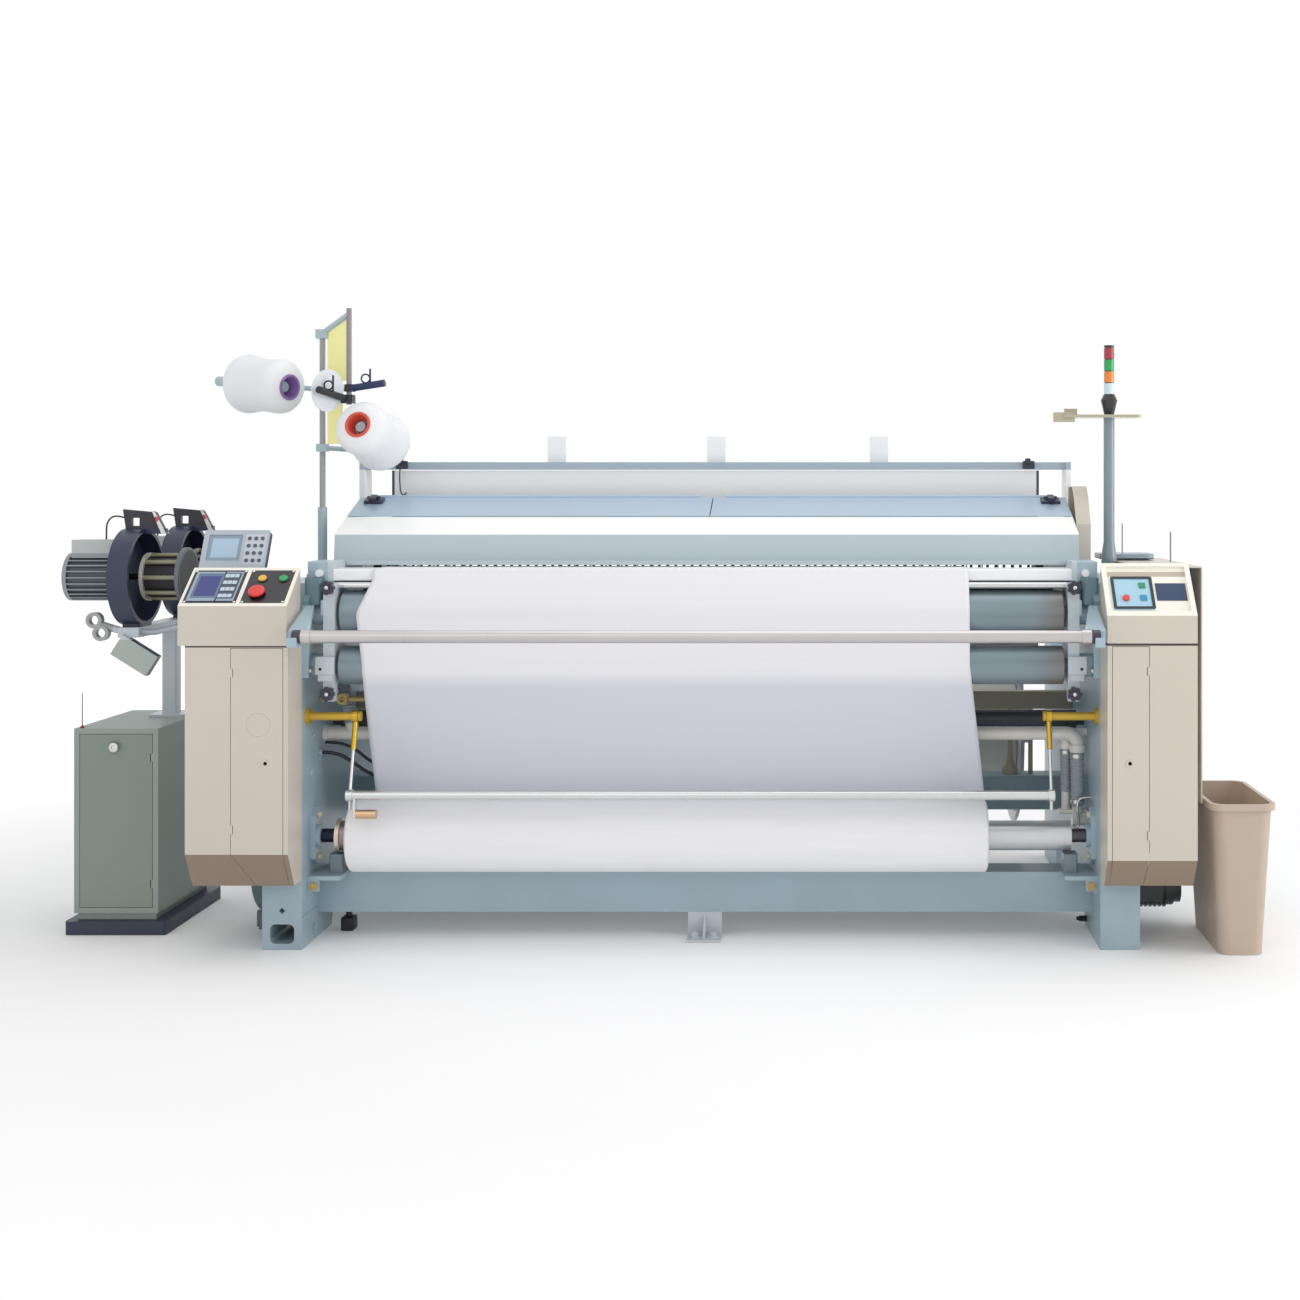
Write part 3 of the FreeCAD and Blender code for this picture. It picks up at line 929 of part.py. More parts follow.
# ---- Suction pipe, ribbed hoses and black leads --------------------------------------------------------

def tube_route(points, radius):
    """A round bar along points: straight runs joined by tangent arcs as large as they allow."""
    edges, radii = [], []
    last = points[0]
    for index in range(1, len(points) - 1):
        here = points[index]
        back, ahead = points[index - 1].sub(here), points[index + 1].sub(here)
        turn = math.pi - back.getAngle(ahead)
        reach = 0.45 * min(back.Length, ahead.Length)
        radii.append(reach / math.tan(turn / 2))
        entry = here.add(V(back.x, back.y, back.z).normalize().multiply(reach))
        leave = here.add(V(ahead.x, ahead.y, ahead.z).normalize().multiply(reach))
        inward = V(back.x, back.y, back.z).normalize().add(V(ahead.x, ahead.y, ahead.z).normalize())
        depth = radii[-1] / math.cos(turn / 2) - radii[-1]
        middle = here.add(inward.normalize().multiply(depth))
        edges.append(Part.LineSegment(last, entry).toShape())
        edges.append(Part.Arc(entry, middle, leave).toShape())
        last = leave
    edges.append(Part.LineSegment(last, points[-1]).toShape())
    path = Part.Wire(edges)
    way = points[1].sub(points[0])
    ring = Part.Wire([Part.makeCircle(radius, points[0], way)])
    bar = path.makePipeShell([ring], True, False)
    print("route", round(path.Length, 1), "mm, radii", [round(value, 1) for value in radii],
          "volume ratio", round(bar.Volume / (math.pi * radius ** 2 * path.Length), 4))
    return bar


pipe_tap = V(LEFT_HOSE_X, PIPE_Y, PIPE_Z)
left_hose_top = V(LEFT_PORT_X, PIPE_Y, LEFT_PORT_Z)
left_hose_way = left_hose_top.sub(pipe_tap).normalize()
left_hose_foot = pipe_tap.add(V(left_hose_way.x, 0, left_hose_way.z).multiply(PIPE_R + 14))


def suction_pipe():
    """The white pipe with its elbow on the right, and the port of the left hose on the frame."""
    straight = rod_x(PIPE_R, -INNER, PIPE_REACH - PIPE_BEND, PIPE_Y, PIPE_Z)
    centre = V(PIPE_REACH - PIPE_BEND, PIPE_Y, PIPE_Z - PIPE_BEND)
    quarter = block(centre.x, PIPE_REACH + 60, PIPE_Y - 40, PIPE_Y + 40, centre.z, PIPE_Z + 60)
    elbow = Part.makeTorus(PIPE_BEND, PIPE_R, centre, Y_AXIS).common(quarter)
    cuff = rod_z(HOSE_R + 3, PIPE_Z - PIPE_BEND - 22, PIPE_Z - PIPE_BEND, PIPE_REACH, PIPE_Y)
    tee = rod(HOSE_R - 2, pipe_tap, left_hose_foot)
    clip_x = PIPE_REACH - PIPE_BEND - 60
    clips = [rod_x(PIPE_R + 5, x, x + 14, PIPE_Y, PIPE_Z) for x in (-INNER, clip_x)]
    bore = rod_x(PIPE_BORE_R, -INNER + 5, PIPE_REACH - PIPE_BEND - 8, PIPE_Y, PIPE_Z)
    strap = block(clip_x, clip_x + 14, PIPE_Y + 10, PIPE_Y + 34, PIPE_Z - 10, PIPE_Z + 10)
    stay = block(clip_x, INNER, PIPE_Y + 26, PIPE_Y + 34, PIPE_Z - 10, PIPE_Z + 10)
    pipe = joined(straight, elbow, cuff, tee, *clips, strap, stay).cut(bore)
    spout = left_hose_top.add(V(left_hose_way.x, 0, left_hose_way.z).multiply(HOSE_R + 14))
    port = joined(rod(HOSE_R + 2, left_hose_top, spout), rod_x(HOSE_R, -INNER, spout.x, PIPE_Y, spout.z))
    drain = joined(rod_z(HOSE_R - 6, PORT_Z - 44, PORT_Z, PIPE_REACH, PIPE_Y),
                   rod_x(HOSE_R - 6, PIPE_REACH - HOSE_R + 6, INNER, PIPE_Y, PORT_Z - 44))
    return pipe, port, drain


def ribbed_hose(start, end):
    """A straight stretch of ribbed hose with its bore, ribs made by a ruled loft."""
    way = end.sub(start)
    count = int(way.Length / HOSE_PITCH)
    pitch = way.Length / count
    rings = []
    for index in range(count):
        for share, radius in ((0.0, HOSE_R - 3), (0.25, HOSE_R), (0.75, HOSE_R), (0.98, HOSE_R - 3)):
            rings.append(Part.Wire([Part.makeCircle(radius, V(0, 0, (index + share) * pitch), Z_AXIS)]))
    body = Part.makeLoft(rings, True, True)
    body = body.cut(rod_z(HOSE_BORE_R, -1, way.Length + 1, 0, 0))
    turn = FreeCAD.Rotation(Z_AXIS, way)
    body.Placement = FreeCAD.Placement(start, turn)
    return body


def hoses():
    """The right hose from the elbow to its drain, and the left one from its port to the pipe."""
    right = ribbed_hose(V(PIPE_REACH, PIPE_Y, PIPE_Z - PIPE_BEND - 22), V(PIPE_REACH, PIPE_Y, PORT_Z))
    left = ribbed_hose(left_hose_top, left_hose_foot)
    return right, left


save("suction_pipe", *suction_pipe())
save("ribbed_hoses", *hoses())
lead_foot = BEAM_LOW + BEAM_TALL + GLAND_TALL
lead_points = [V(-INNER + GLAND_TALL, LEAD_START_Y, LEAD_START_Z), V(-1096, LEAD_START_Y, LEAD_START_Z),
               V(-1056, 72, 512), V(-1012, 88, 474), V(-950, 104, 446), V(-893, 120, 410), V(-856, 130, 358),
               V(-841, 135, 306), V(LEAD_END_X, LEAD_END_Y, 252), V(LEAD_END_X, LEAD_END_Y, lead_foot)]
save("black_lead", tube_route(lead_points, LEAD_R))


def drive_guard():
    """The curved guard behind the left column, with its cast foot and a brass drain tap."""
    x0, x1 = -OUTER - 74, -OUTER - SEAT_GAP
    ring = rod_x(150, x0, x1, 150, 205).cut(rod_x(146, x0 + 4, x1 + 1, 150, 205))
    lower = ring.common(block(x0, x1, -20, 320, 40, 195))
    foot = rounded(block(x0 - 10, x1, 90, 210, 12, 62), 8, X_AXIS)
    tap = joined(rod_z(8, 0.5, 16, x0 + 14, 100), rod_x(6, x0 - 6, x0 + 20, 100, 10))
    return joined(lower, foot, tap)


def drive_motor():
    """The dark motor low behind the right column, on a flange at the frame."""
    y, z = 190.0, 112.0
    flange = block(OUTER, OUTER + 12, y - 62, y + 62, z - 62, z + 62)
    body = rod_x(54, OUTER + 10, OUTER + 150, y, z)
    fins = [rod_x(60, OUTER + 24 + count * 14, OUTER + 29 + count * 14, y, z) for count in range(8)]
    cap = rod_x(46, OUTER + 148, OUTER + 172, y, z)
    box = block(OUTER + 40, OUTER + 110, y - 78, y - 40, z - 30, z + 34)
    return joined(flange, body, *fins, cap, box)


save("drive_guard", drive_guard())
save("drive_motor", drive_motor())


# ---- Control box beside the loom -----------------------------------------------------------------------
def control_box():
    """The sheet box with its doorway, mounting plate and switchgear, on a dark plinth."""
    wall = COVER_WALL
    plinth = rounded(block(BOX_LEFT - 20, BOX_RIGHT + 30, BOX_FRONT - 20, BOX_BACK + 20, 0, PLINTH_TALL - 20),
                     10, Z_AXIS)
    riser = block(BOX_LEFT + 8, BOX_RIGHT - 8, BOX_FRONT + 8, BOX_BACK - 8, PLINTH_TALL - 20, PLINTH_TALL)
    shell = block(BOX_LEFT, BOX_RIGHT, BOX_FRONT, BOX_BACK, PLINTH_TALL, BOX_TOP)
    inside = block(BOX_LEFT + wall, BOX_RIGHT - wall, BOX_FRONT + wall, BOX_BACK - wall, PLINTH_TALL + wall,
                   BOX_TOP - wall)
    doorway = block(BOX_LEFT + BOX_MARGIN, BOX_RIGHT - BOX_MARGIN, BOX_FRONT - 1, BOX_FRONT + wall + 1,
                    PLINTH_TALL + BOX_MARGIN, BOX_TOP - BOX_MARGIN)
    shell = shell.cut(joined(inside, doorway))
    plate = block(BOX_LEFT + 30, BOX_RIGHT - 30, BOX_BACK - 30, BOX_BACK - wall + 1, 130, BOX_TOP - 50)
    gear = [block(x, x + 44, BOX_BACK - 100, BOX_BACK - 29, z, z + 76)
            for x in (BOX_LEFT + 45, BOX_LEFT + 103, BOX_LEFT + 161) for z in (180, 320, 450)]
    return joined(plinth, riser, shell, plate, *gear)


def box_door():
    """The door, flush in its doorway, with a folded edge behind it and a round lock."""
    x0, x1 = BOX_LEFT + BOX_MARGIN + PANEL_GAP, BOX_RIGHT - BOX_MARGIN - PANEL_GAP
    z0, z1 = PLINTH_TALL + BOX_MARGIN + PANEL_GAP, BOX_TOP - BOX_MARGIN - PANEL_GAP
    back = BOX_FRONT + COVER_WALL
    leaf = block(x0, x1, BOX_FRONT, back, z0, z1)
    fold = block(x0 + 8, x1 - 8, back - 1, back + 7, z0 + 8, z1 - 8)
    fold = fold.cut(block(x0 + 10, x1 - 10, back - 2, back + 8, z0 + 10, z1 - 10))
    lock_x = BOX_LEFT + 0.46 * (BOX_RIGHT - BOX_LEFT)
    lock = joined(rod_y(12, BOX_FRONT - 5, BOX_FRONT + 1, lock_x, z1 - 36),
                  block(lock_x - 3, lock_x + 3, BOX_FRONT - 10, BOX_FRONT - 2, z1 - 46, z1 - 26))
    return joined(leaf, fold, lock)


box_sheet, box_leaf = hung(control_box(), box_door(), BOX_RIGHT - BOX_MARGIN, BOX_FRONT,
                           (PLINTH_TALL + BOX_MARGIN + HINGE_FROM_END, BOX_TOP - BOX_MARGIN - HINGE_FROM_END))
save("control_box", box_sheet)
save("control_box_door", box_leaf)


# ---- Weft feeders on their post --------------------------------------------------------------------------
def feeder_post():
    """The square post on its flange, the rail on top and the arm with two open rings."""
    half = POST_SIZE / 2
    square = block(POST_X - half, POST_X + half, POST_Y - half, POST_Y + half, BOX_TOP + 8, RAIL_LOW + 2)
    post = rounded(square, 5, Z_AXIS)
    foot_plate = block(POST_X - 55, POST_X + 55, POST_Y - 50, POST_Y + 50, BOX_TOP, BOX_TOP + 8)
    flange = rounded(foot_plate, 8, Z_AXIS)
    rail_bar = block(HOOP_X0, HOOP_X1, FEEDER_YS[0] - 60, FEEDER_YS[1] + 60, RAIL_LOW, RAIL_LOW + RAIL_TALL)
    clamp_y = FEEDER_YS[0] - 55
    arm = rod(11, V(HOOP_X0 + 30, clamp_y + 15, RAIL_LOW + 10), V(HOOP_X0 - 62, clamp_y, RAIL_LOW + 42))
    rings = []
    for x, z in ((HOOP_X0 - 70, RAIL_LOW + 52), (HOOP_X0 - 50, RAIL_LOW + 14)):
        outside = rod_y(24, clamp_y - 11, clamp_y + 11, x, z)
        rings.append(outside.cut(rod_y(14, clamp_y - 12, clamp_y + 12, x, z)))
    sensor = block(-62, 62, -16, 16, -34, 34)
    sensor.rotate(ORIGIN, Y_AXIS, 32)
    sensor.translate(V(HOOP_X1 - 10, clamp_y, RAIL_LOW - 52))
    stem = rod_z(7, RAIL_LOW - 40, RAIL_LOW + 4, HOOP_X0 + 20, clamp_y)
    return joined(post, flange, rail_bar, arm, *rings, sensor, stem)


def feeder_housing(y):
    """Finned motor, hoop, spokes, base foot and the eyelet bracket with its square hole."""
    rim = rod_x(HOOP_R, HOOP_X0, HOOP_X1, y, FEEDER_Z)
    hoop = rim.cut(rod_x(HOOP_R - HOOP_WALL, HOOP_X0 + 8, HOOP_X1 + 1, y, FEEDER_Z))
    base = block(HOOP_X0 + 6, HOOP_X1, y - 40, y + 40, RAIL_LOW + RAIL_TALL, FEEDER_Z - HOOP_R + 8)
    body = rod_x(MOTOR_R - 8, MOTOR_END + 8, HOOP_X0 + 1, y, FEEDER_Z)
    fins = []
    for turn in range(MOTOR_FINS):
        rim_z = FEEDER_Z + MOTOR_R
        fin = block(MOTOR_END + 12, HOOP_X0 - 14, y - 1.8, y + 1.8, rim_z - 12, rim_z)
        fin.rotate(V(0, y, FEEDER_Z), X_AXIS, 360 / MOTOR_FINS * turn)
        fins.append(fin)
    cover = rod_x(MOTOR_R, MOTOR_END, MOTOR_END + 12, y, FEEDER_Z)
    flange = rod_x(MOTOR_R + 4, HOOP_X0 - 14, HOOP_X0, y, FEEDER_Z)
    terminal = block(MOTOR_END + 20, HOOP_X0, y - 48, y + 48, rim_z - 14, rim_z + 40)
    wing_base = FEEDER_Z + HOOP_R - 10
    wing = prism_y([(HOOP_X0 + 4, wing_base), (HOOP_X0 - 6, wing_base + 68), (HOOP_X1 + 20, wing_base + 60),
                    (HOOP_X1 + 52, wing_base - 6)], y - 8, y + 8)
    wing = wing.cut(block(HOOP_X0 + 20, HOOP_X0 + 44, y - 20, y + 20, wing_base + 18, wing_base + 42))
    strip = prism_y([(HOOP_X1 + 22, wing_base + 62), (HOOP_X1 + 30, wing_base + 58),
                     (HOOP_X1 + 64, wing_base - 6), (HOOP_X1 + 50, wing_base - 6)], y - 14, y + 14)
    bridge = block(HOOP_X1 - 10, HOOP_X1 + 62, y - 10, y + 10, wing_base - 6, wing_base + 10)
    whole = joined(hoop, base, body, *fins, cover, flange, terminal, wing, strip, bridge)
    return whole.cut(rod_x(DRUM_SHAFT_R + RUN_GAP, HOOP_X0 - 12, HOOP_X0 + 9, y, FEEDER_Z))


def feeder_drum(y):
    """The winding drum: two end discs, a dark core, rods round it and its winding arm."""
    back = rod_x(DRUM_R - 16, DRUM_X0, DRUM_X0 + 10, y, FEEDER_Z)
    front = rod_x(DRUM_R, DRUM_X1 - 14, DRUM_X1, y, FEEDER_Z)
    front = front.makeFillet(4, [edge for edge in front.Edges if abs(edge.BoundBox.XMax - DRUM_X1) < 0.01
                                 and edge.BoundBox.XLength < 0.01])
    core = rod_x(DRUM_R - 30, DRUM_X0, DRUM_X1, y, FEEDER_Z)
    rods = []
    for turn in range(8):
        angle = math.radians(45 * turn)
        rods.append(rod_x(7, DRUM_X0 + 2, DRUM_X1 - 4, y + (DRUM_R - 24) * math.cos(angle),
                          FEEDER_Z + (DRUM_R - 24) * math.sin(angle)))
    shaft = rod_x(DRUM_SHAFT_R, HOOP_X0 - 10, DRUM_X0 + 2, y, FEEDER_Z)
    return joined(back, front, core, *rods, shaft)


def feeder_display():
    """The tilted display over the desk: silver front, dark back and its arm to the feeder rail."""
    box = rounded(block(-96, 96, 0, 126, -26, 0), 5, Z_AXIS)
    screen = block(-80, 18, 26, 110, -2, 6)
    keys = [rod_z(6, -1, 2, 40 + 19 * column, 26 + 24 * row) for column in range(3) for row in range(4)]
    box = joined(box.cut(screen), *keys)
    box.rotate(ORIGIN, X_AXIS, 62)
    box.translate(V(-1384, -18, 1090))
    level = RAIL_LOW + RAIL_TALL / 2
    bends = [V(-1384, 20, 1140), V(-1470, 96, 1040), V(-1500, 96, 930), V(HOOP_X1 + 40, 96, level),
             V(HOOP_X1, 96, level)]
    post = [rod(9, start, end) for start, end in zip(bends, bends[1:])]
    return joined(box, *post)


save("feeder_post", feeder_post())
save("feeder_housings", *[feeder_housing(y) for y in FEEDER_YS])
save("feeder_drum_front", feeder_drum(FEEDER_YS[0]))
save("feeder_drum_rear", feeder_drum(FEEDER_YS[1]))
save("feeder_display", feeder_display())


# ---- Cone stand -----------------------------------------------------------------------------------
def cone_stand():
    """Sleeve, pole, hanging rod with its arms, separator plate and the two cone spindles."""
    sleeve = rod_z(SLEEVE_R, FRAME_TOP, SLEEVE_TOP, STAND_X, STAND_Y)
    flange = rounded(block(STAND_X - 40, STAND_X + 40, STAND_Y - 40, STAND_Y + 40, FRAME_TOP, FRAME_TOP + 10),
                     8, Z_AXIS)
    pole = rod_z(STAND_R, SLEEVE_TOP - 5, STAND_TOP, STAND_X, STAND_Y)
    hang = rod_z(HANG_R, HANG_LOW, HANG_TOP, HANG_X, HANG_Y)
    top_clamp = block(STAND_X - 18, STAND_X + 18, STAND_Y - 16, STAND_Y + 16, STAND_TOP - 24, STAND_TOP + 4)
    top_arm = rod(9, V(STAND_X, STAND_Y, STAND_TOP - 8), V(HANG_X, HANG_Y, HANG_TOP - 18))
    low_clamp = block(STAND_X - 16, STAND_X + 16, STAND_Y - 15, STAND_Y + 15, LOWER_ARM_Z - 12,
                      LOWER_ARM_Z + 12)
    across = V(HANG_X - STAND_X, HANG_Y - STAND_Y, 0)
    corners = [(0.18, 1462), (0.18, 1808), (1.0, 1858), (1.0, 1656), (0.74, 1656), (0.74, 1462)]
    separator = prism([V(STAND_X + share * across.x, STAND_Y + share * across.y, z) for share, z in corners],
                      V(-across.y, across.x, 0).normalize().multiply(2.5))
    pieces = [sleeve, flange, pole, hang, top_clamp, top_arm, low_clamp, separator]
    tails = []
    for face, way in ((CONE_1_FACE, CONE_1_WAY), (CONE_2_FACE, CONE_2_WAY)):
        nose = along(face, way, -18)
        tails.append(along(face, way, -CONE_LENGTH - SPINDLE_TAIL))
        pieces.append(rod(CONE_TUBE_R - 5 - SEAT_GAP, nose, tails[-1]))
    aside = V(-CONE_1_WAY.y, CONE_1_WAY.x, 0).normalize().multiply(CONE_BASE_R + 26)
    upper_grip = V(STAND_X, STAND_Y, UPPER_ARM_Z)
    clear_nose = along(CONE_1_FACE, CONE_1_WAY, -20).add(aside)
    clear_base = along(CONE_1_FACE, CONE_1_WAY, -CONE_LENGTH - SPINDLE_TAIL + 12).add(aside)
    upper_hold = along(CONE_1_FACE, CONE_1_WAY, -CONE_LENGTH - SPINDLE_TAIL + 12)
    lower_grip = V(STAND_X, STAND_Y, LOWER_ARM_Z)
    lower_bend = V(STAND_X + 58, STAND_Y + 120, LOWER_ARM_Z - 3)
    lower_hold = along(CONE_2_FACE, CONE_2_WAY, -CONE_LENGTH - SPINDLE_TAIL + 12)
    for bends in ((upper_grip, clear_nose, clear_base, upper_hold), (lower_grip, lower_bend, lower_hold)):
        pieces += [rod(ARM_R, start, end) for start, end in zip(bends, bends[1:])]
        pieces += [Part.makeSphere(ARM_R, bend) for bend in bends[1:-1]]
    return pieces


def along(point, way, reach):
    """The place at a distance from a point, in the direction of a unit vector."""
    return point.add(V(way.x, way.y, way.z).multiply(reach))


def cone(face, way):
    """A wound cone: drawn-in shoulders at both ends of a slightly waisted body."""
    nose, base, long, tube = CONE_NOSE_R, CONE_BASE_R, CONE_LENGTH, CONE_TUBE_R
    outer = [V(tube + 1, 0, -4), V(nose - 18, 0, -8), V(nose, 0, -34), V(nose - 2, 0, -long * 0.42),
             V(base, 0, -long + 42), V(base - 16, 0, -long + 8), V(tube + 9, 0, -long)]
    lines = [Part.LineSegment(outer[0], outer[1]).toShape(), Part.LineSegment(outer[1], outer[2]).toShape(),
             Part.Arc(outer[2], V(nose - 3.5, 0, -long * 0.3), outer[3]).toShape(),
             Part.LineSegment(outer[3], outer[4]).toShape(), Part.LineSegment(outer[4], outer[5]).toShape(),
             Part.LineSegment(outer[5], outer[6]).toShape(),
             Part.LineSegment(outer[6], V(tube + 9, 0, -long - 10)).toShape(),
             Part.LineSegment(V(tube + 9, 0, -long - 10), V(tube - 5, 0, -long - 10)).toShape(),
             Part.LineSegment(V(tube - 5, 0, -long - 10), V(tube - 5, 0, 6)).toShape(),
             Part.LineSegment(V(tube - 5, 0, 6), V(tube + 1, 0, 6)).toShape(),
             Part.LineSegment(V(tube + 1, 0, 6), outer[0]).toShape()]
    body = Part.Face(Part.Wire(lines)).revolve(ORIGIN, Z_AXIS, 360)
    body.Placement = FreeCAD.Placement(face, FreeCAD.Rotation(Z_AXIS, way))
    return body


def yarn_tensioners():
    """The tension disc by the pole and the two dark tensioners on the hanging rod."""
    middle = along(CONE_1_FACE, CONE_1_WAY, DISC_AHEAD)
    plate = rod(DISC_R, middle, along(middle, CONE_1_WAY, 4)).cut(
        rod(5, along(middle, CONE_1_WAY, -1), along(middle, CONE_1_WAY, 5)))
    grip_z = UPPER_ARM_Z + 30
    collar = rod_z(STAND_R + 7, grip_z - 10, grip_z + 10, STAND_X, STAND_Y)
    hold = along(middle, CONE_1_WAY, -1).add(V(0, 0, DISC_R / 2))
    disc = joined(plate, collar, rod(5, V(STAND_X, STAND_Y - STAND_R - 4, grip_z), hold),
                  rod(7, along(hold, CONE_1_WAY, -8), along(hold, CONE_1_WAY, 7)))
    disc = disc.cut(rod_z(STAND_R + SEAT_GAP, grip_z - 11, grip_z + 11, STAND_X, STAND_Y))
    clip = block(HANG_X - 22, HANG_X + 16, HANG_Y - 22, HANG_Y + 14, HANG_LOW + 4, HANG_LOW + 30)
    left_tip = V(HANG_X - 51, HANG_Y - 145, HANG_LOW + 38)
    left_arm = rod(11, V(HANG_X - 8, HANG_Y - 14, HANG_LOW + 18), left_tip)
    upper_clip = block(HANG_X - 14, HANG_X + 16, HANG_Y - 14, HANG_Y + 14, HANG_LOW + 40, HANG_LOW + 62)
    right_tip = V(HANG_X + 112, HANG_Y - 10, HANG_LOW + 66)
    right_arm = rod(11, V(HANG_X + 10, HANG_Y, HANG_LOW + 51), right_tip)
    left_eye = V(HANG_X - 36, HANG_Y - 95, HANG_LOW + 54)
    right_eye = V(HANG_X + 52, HANG_Y - 5, HANG_LOW + 80)
    eyes = [Part.makeTorus(13, 2.5, eye, Y_AXIS) for eye in (left_eye, right_eye)]
    eyes += [rod_z(3, eye.z - 20, eye.z + 30, eye.x + 14, eye.y) for eye in (left_eye, right_eye)]
    return [joined(clip, left_arm, eyes[0], eyes[2]).cut(hanging_bore()),
            joined(upper_clip, right_arm, eyes[1], eyes[3]).cut(hanging_bore()), disc]


def hanging_bore():
    """What the hanging rod takes up of a clip that it passes through."""
    return rod_z(HANG_R + RUN_GAP, HANG_LOW - 10, HANG_TOP, HANG_X, HANG_Y)


save("cone_stand", joined(*cone_stand()))
save("yarn_cones", cone(CONE_1_FACE, CONE_1_WAY), cone(CONE_2_FACE, CONE_2_WAY))
save("yarn_tensioners", *yarn_tensioners())


# ---- Stack light and waste bin --------------------------------------------------------------------
def stack_light():
    """The pole on its foot, the tray with two tabs, and the lamps on a tapered base."""
    pole = rod_z(17, FRAME_TOP, TRAY_Z, LIGHT_X, LIGHT_Y)
    foot = Part.makeCone(24, 18, 46, V(LIGHT_X, LIGHT_Y, FRAME_TOP + 60), Z_AXIS)
    base = rod_z(24, FRAME_TOP, FRAME_TOP + 60, LIGHT_X, LIGHT_Y)
    shelf = block(LIGHT_X - 150, LIGHT_X + 92, LIGHT_Y - 50, LIGHT_Y + 50, TRAY_Z, TRAY_Z + 9)
    tray = rounded(shelf, 12, Z_AXIS)
    tabs = [block(LIGHT_X - 178, LIGHT_X - 112, LIGHT_Y - 44, LIGHT_Y - 30, TRAY_Z - 14, TRAY_Z + 16),
            block(LIGHT_X - 136, LIGHT_X - 96, LIGHT_Y + 20, LIGHT_Y + 34, TRAY_Z + 4, TRAY_Z + 30)]
    holder = Part.makeCone(15, 26, 46, V(LIGHT_X, LIGHT_Y, TRAY_Z + 9), Z_AXIS)
    collar = Part.makeCone(26, LAMP_R, 20, V(LIGHT_X, LIGHT_Y, TRAY_Z + 55), Z_AXIS)
    lamps = []
    lamp_low = TRAY_Z + 74
    lamp_tall = (LIGHT_TOP - lamp_low - 6) / 4
    for index in range(4):
        lamps.append(rod_z(LAMP_R, lamp_low + index * lamp_tall, lamp_low + (index + 1) * lamp_tall - 3,
                           LIGHT_X, LIGHT_Y))
        lamps.append(rod_z(LAMP_R - 2, lamp_low + index * lamp_tall, lamp_low + (index + 1) * lamp_tall,
                           LIGHT_X, LIGHT_Y))
    lamps.append(rod_z(LAMP_R, LIGHT_TOP - 6, LIGHT_TOP, LIGHT_X, LIGHT_Y))
    return joined(pole, base, foot, tray, *tabs, holder, collar, *lamps)


def bin_profile(grow, z, shrink):
    """One level of the bin: a rounded rectangle as a closed wire."""
    x0, x1 = BIN_LEFT + shrink - grow, BIN_RIGHT - shrink + grow
    y0, y1 = BIN_FRONT + shrink - grow, BIN_BACK - shrink + grow
    corner = 34.0
    slab = rounded(block(x0, x1, y0, y1, z, z + 1), corner, Z_AXIS)
    low = [face for face in slab.Faces if abs(face.BoundBox.ZMax - z) < 0.001][0]
    return low.OuterWire


def waste_bin():
    """A tapered moulded bin with a rolled rim, open at the top."""
    def between(grow, low, high, shrink):
        levels = [bin_profile(grow, low, shrink), bin_profile(grow, high, 0)]
        return Part.makeLoft(levels, True, True)

    outside = between(0, 0, BIN_TALL - 10, BIN_TAPER)
    inside = between(-BIN_WALL, BIN_WALL, BIN_TALL - 9, BIN_TAPER)
    rim = between(9, BIN_TALL - 18, BIN_TALL, 0).cut(between(-BIN_WALL, BIN_TALL - 19, BIN_TALL + 1, 0))
    return joined(outside.cut(inside), rim)


save("stack_light", stack_light())
save("waste_bin", waste_bin())
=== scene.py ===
# %% [markdown]
# # A power loom, dressed for the camera
#
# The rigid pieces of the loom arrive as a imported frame: every casting, cover and roller is
# already at its place and size. This lesson gives each of them its finish, and models what a
# machine drawing leaves out: cloth, yarn, hoses, screens, screws and the light in the room.

# %% Load the frame
import json
import math

import bmesh
import bpy
from mathutils import Matrix, Vector, noise


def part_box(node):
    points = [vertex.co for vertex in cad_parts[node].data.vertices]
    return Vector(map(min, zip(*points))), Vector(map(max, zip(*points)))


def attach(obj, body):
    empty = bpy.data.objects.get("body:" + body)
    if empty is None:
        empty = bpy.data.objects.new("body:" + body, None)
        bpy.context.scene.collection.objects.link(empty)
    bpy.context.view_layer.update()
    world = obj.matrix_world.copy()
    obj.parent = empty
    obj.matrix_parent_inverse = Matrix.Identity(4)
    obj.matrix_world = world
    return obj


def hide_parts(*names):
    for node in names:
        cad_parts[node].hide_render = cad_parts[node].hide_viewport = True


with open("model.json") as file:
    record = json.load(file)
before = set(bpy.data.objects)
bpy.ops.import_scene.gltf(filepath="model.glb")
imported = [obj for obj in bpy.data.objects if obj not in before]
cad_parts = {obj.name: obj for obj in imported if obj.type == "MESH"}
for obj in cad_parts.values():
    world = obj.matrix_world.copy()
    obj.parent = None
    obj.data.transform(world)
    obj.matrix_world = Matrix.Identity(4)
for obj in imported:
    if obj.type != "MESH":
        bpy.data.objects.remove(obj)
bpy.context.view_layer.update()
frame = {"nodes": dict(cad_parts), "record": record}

nodes = frame["nodes"]
bpy.context.scene.view_settings.view_transform = "Standard"

# %% [markdown]
# ## The camera
#
# The photograph was taken with the camera level and square to the loom's front, and cropped
# afterwards, so its horizon isn't in the middle. A lens shift does the same here: the camera
# stays level, upright edges stay upright, and only the frame moves.

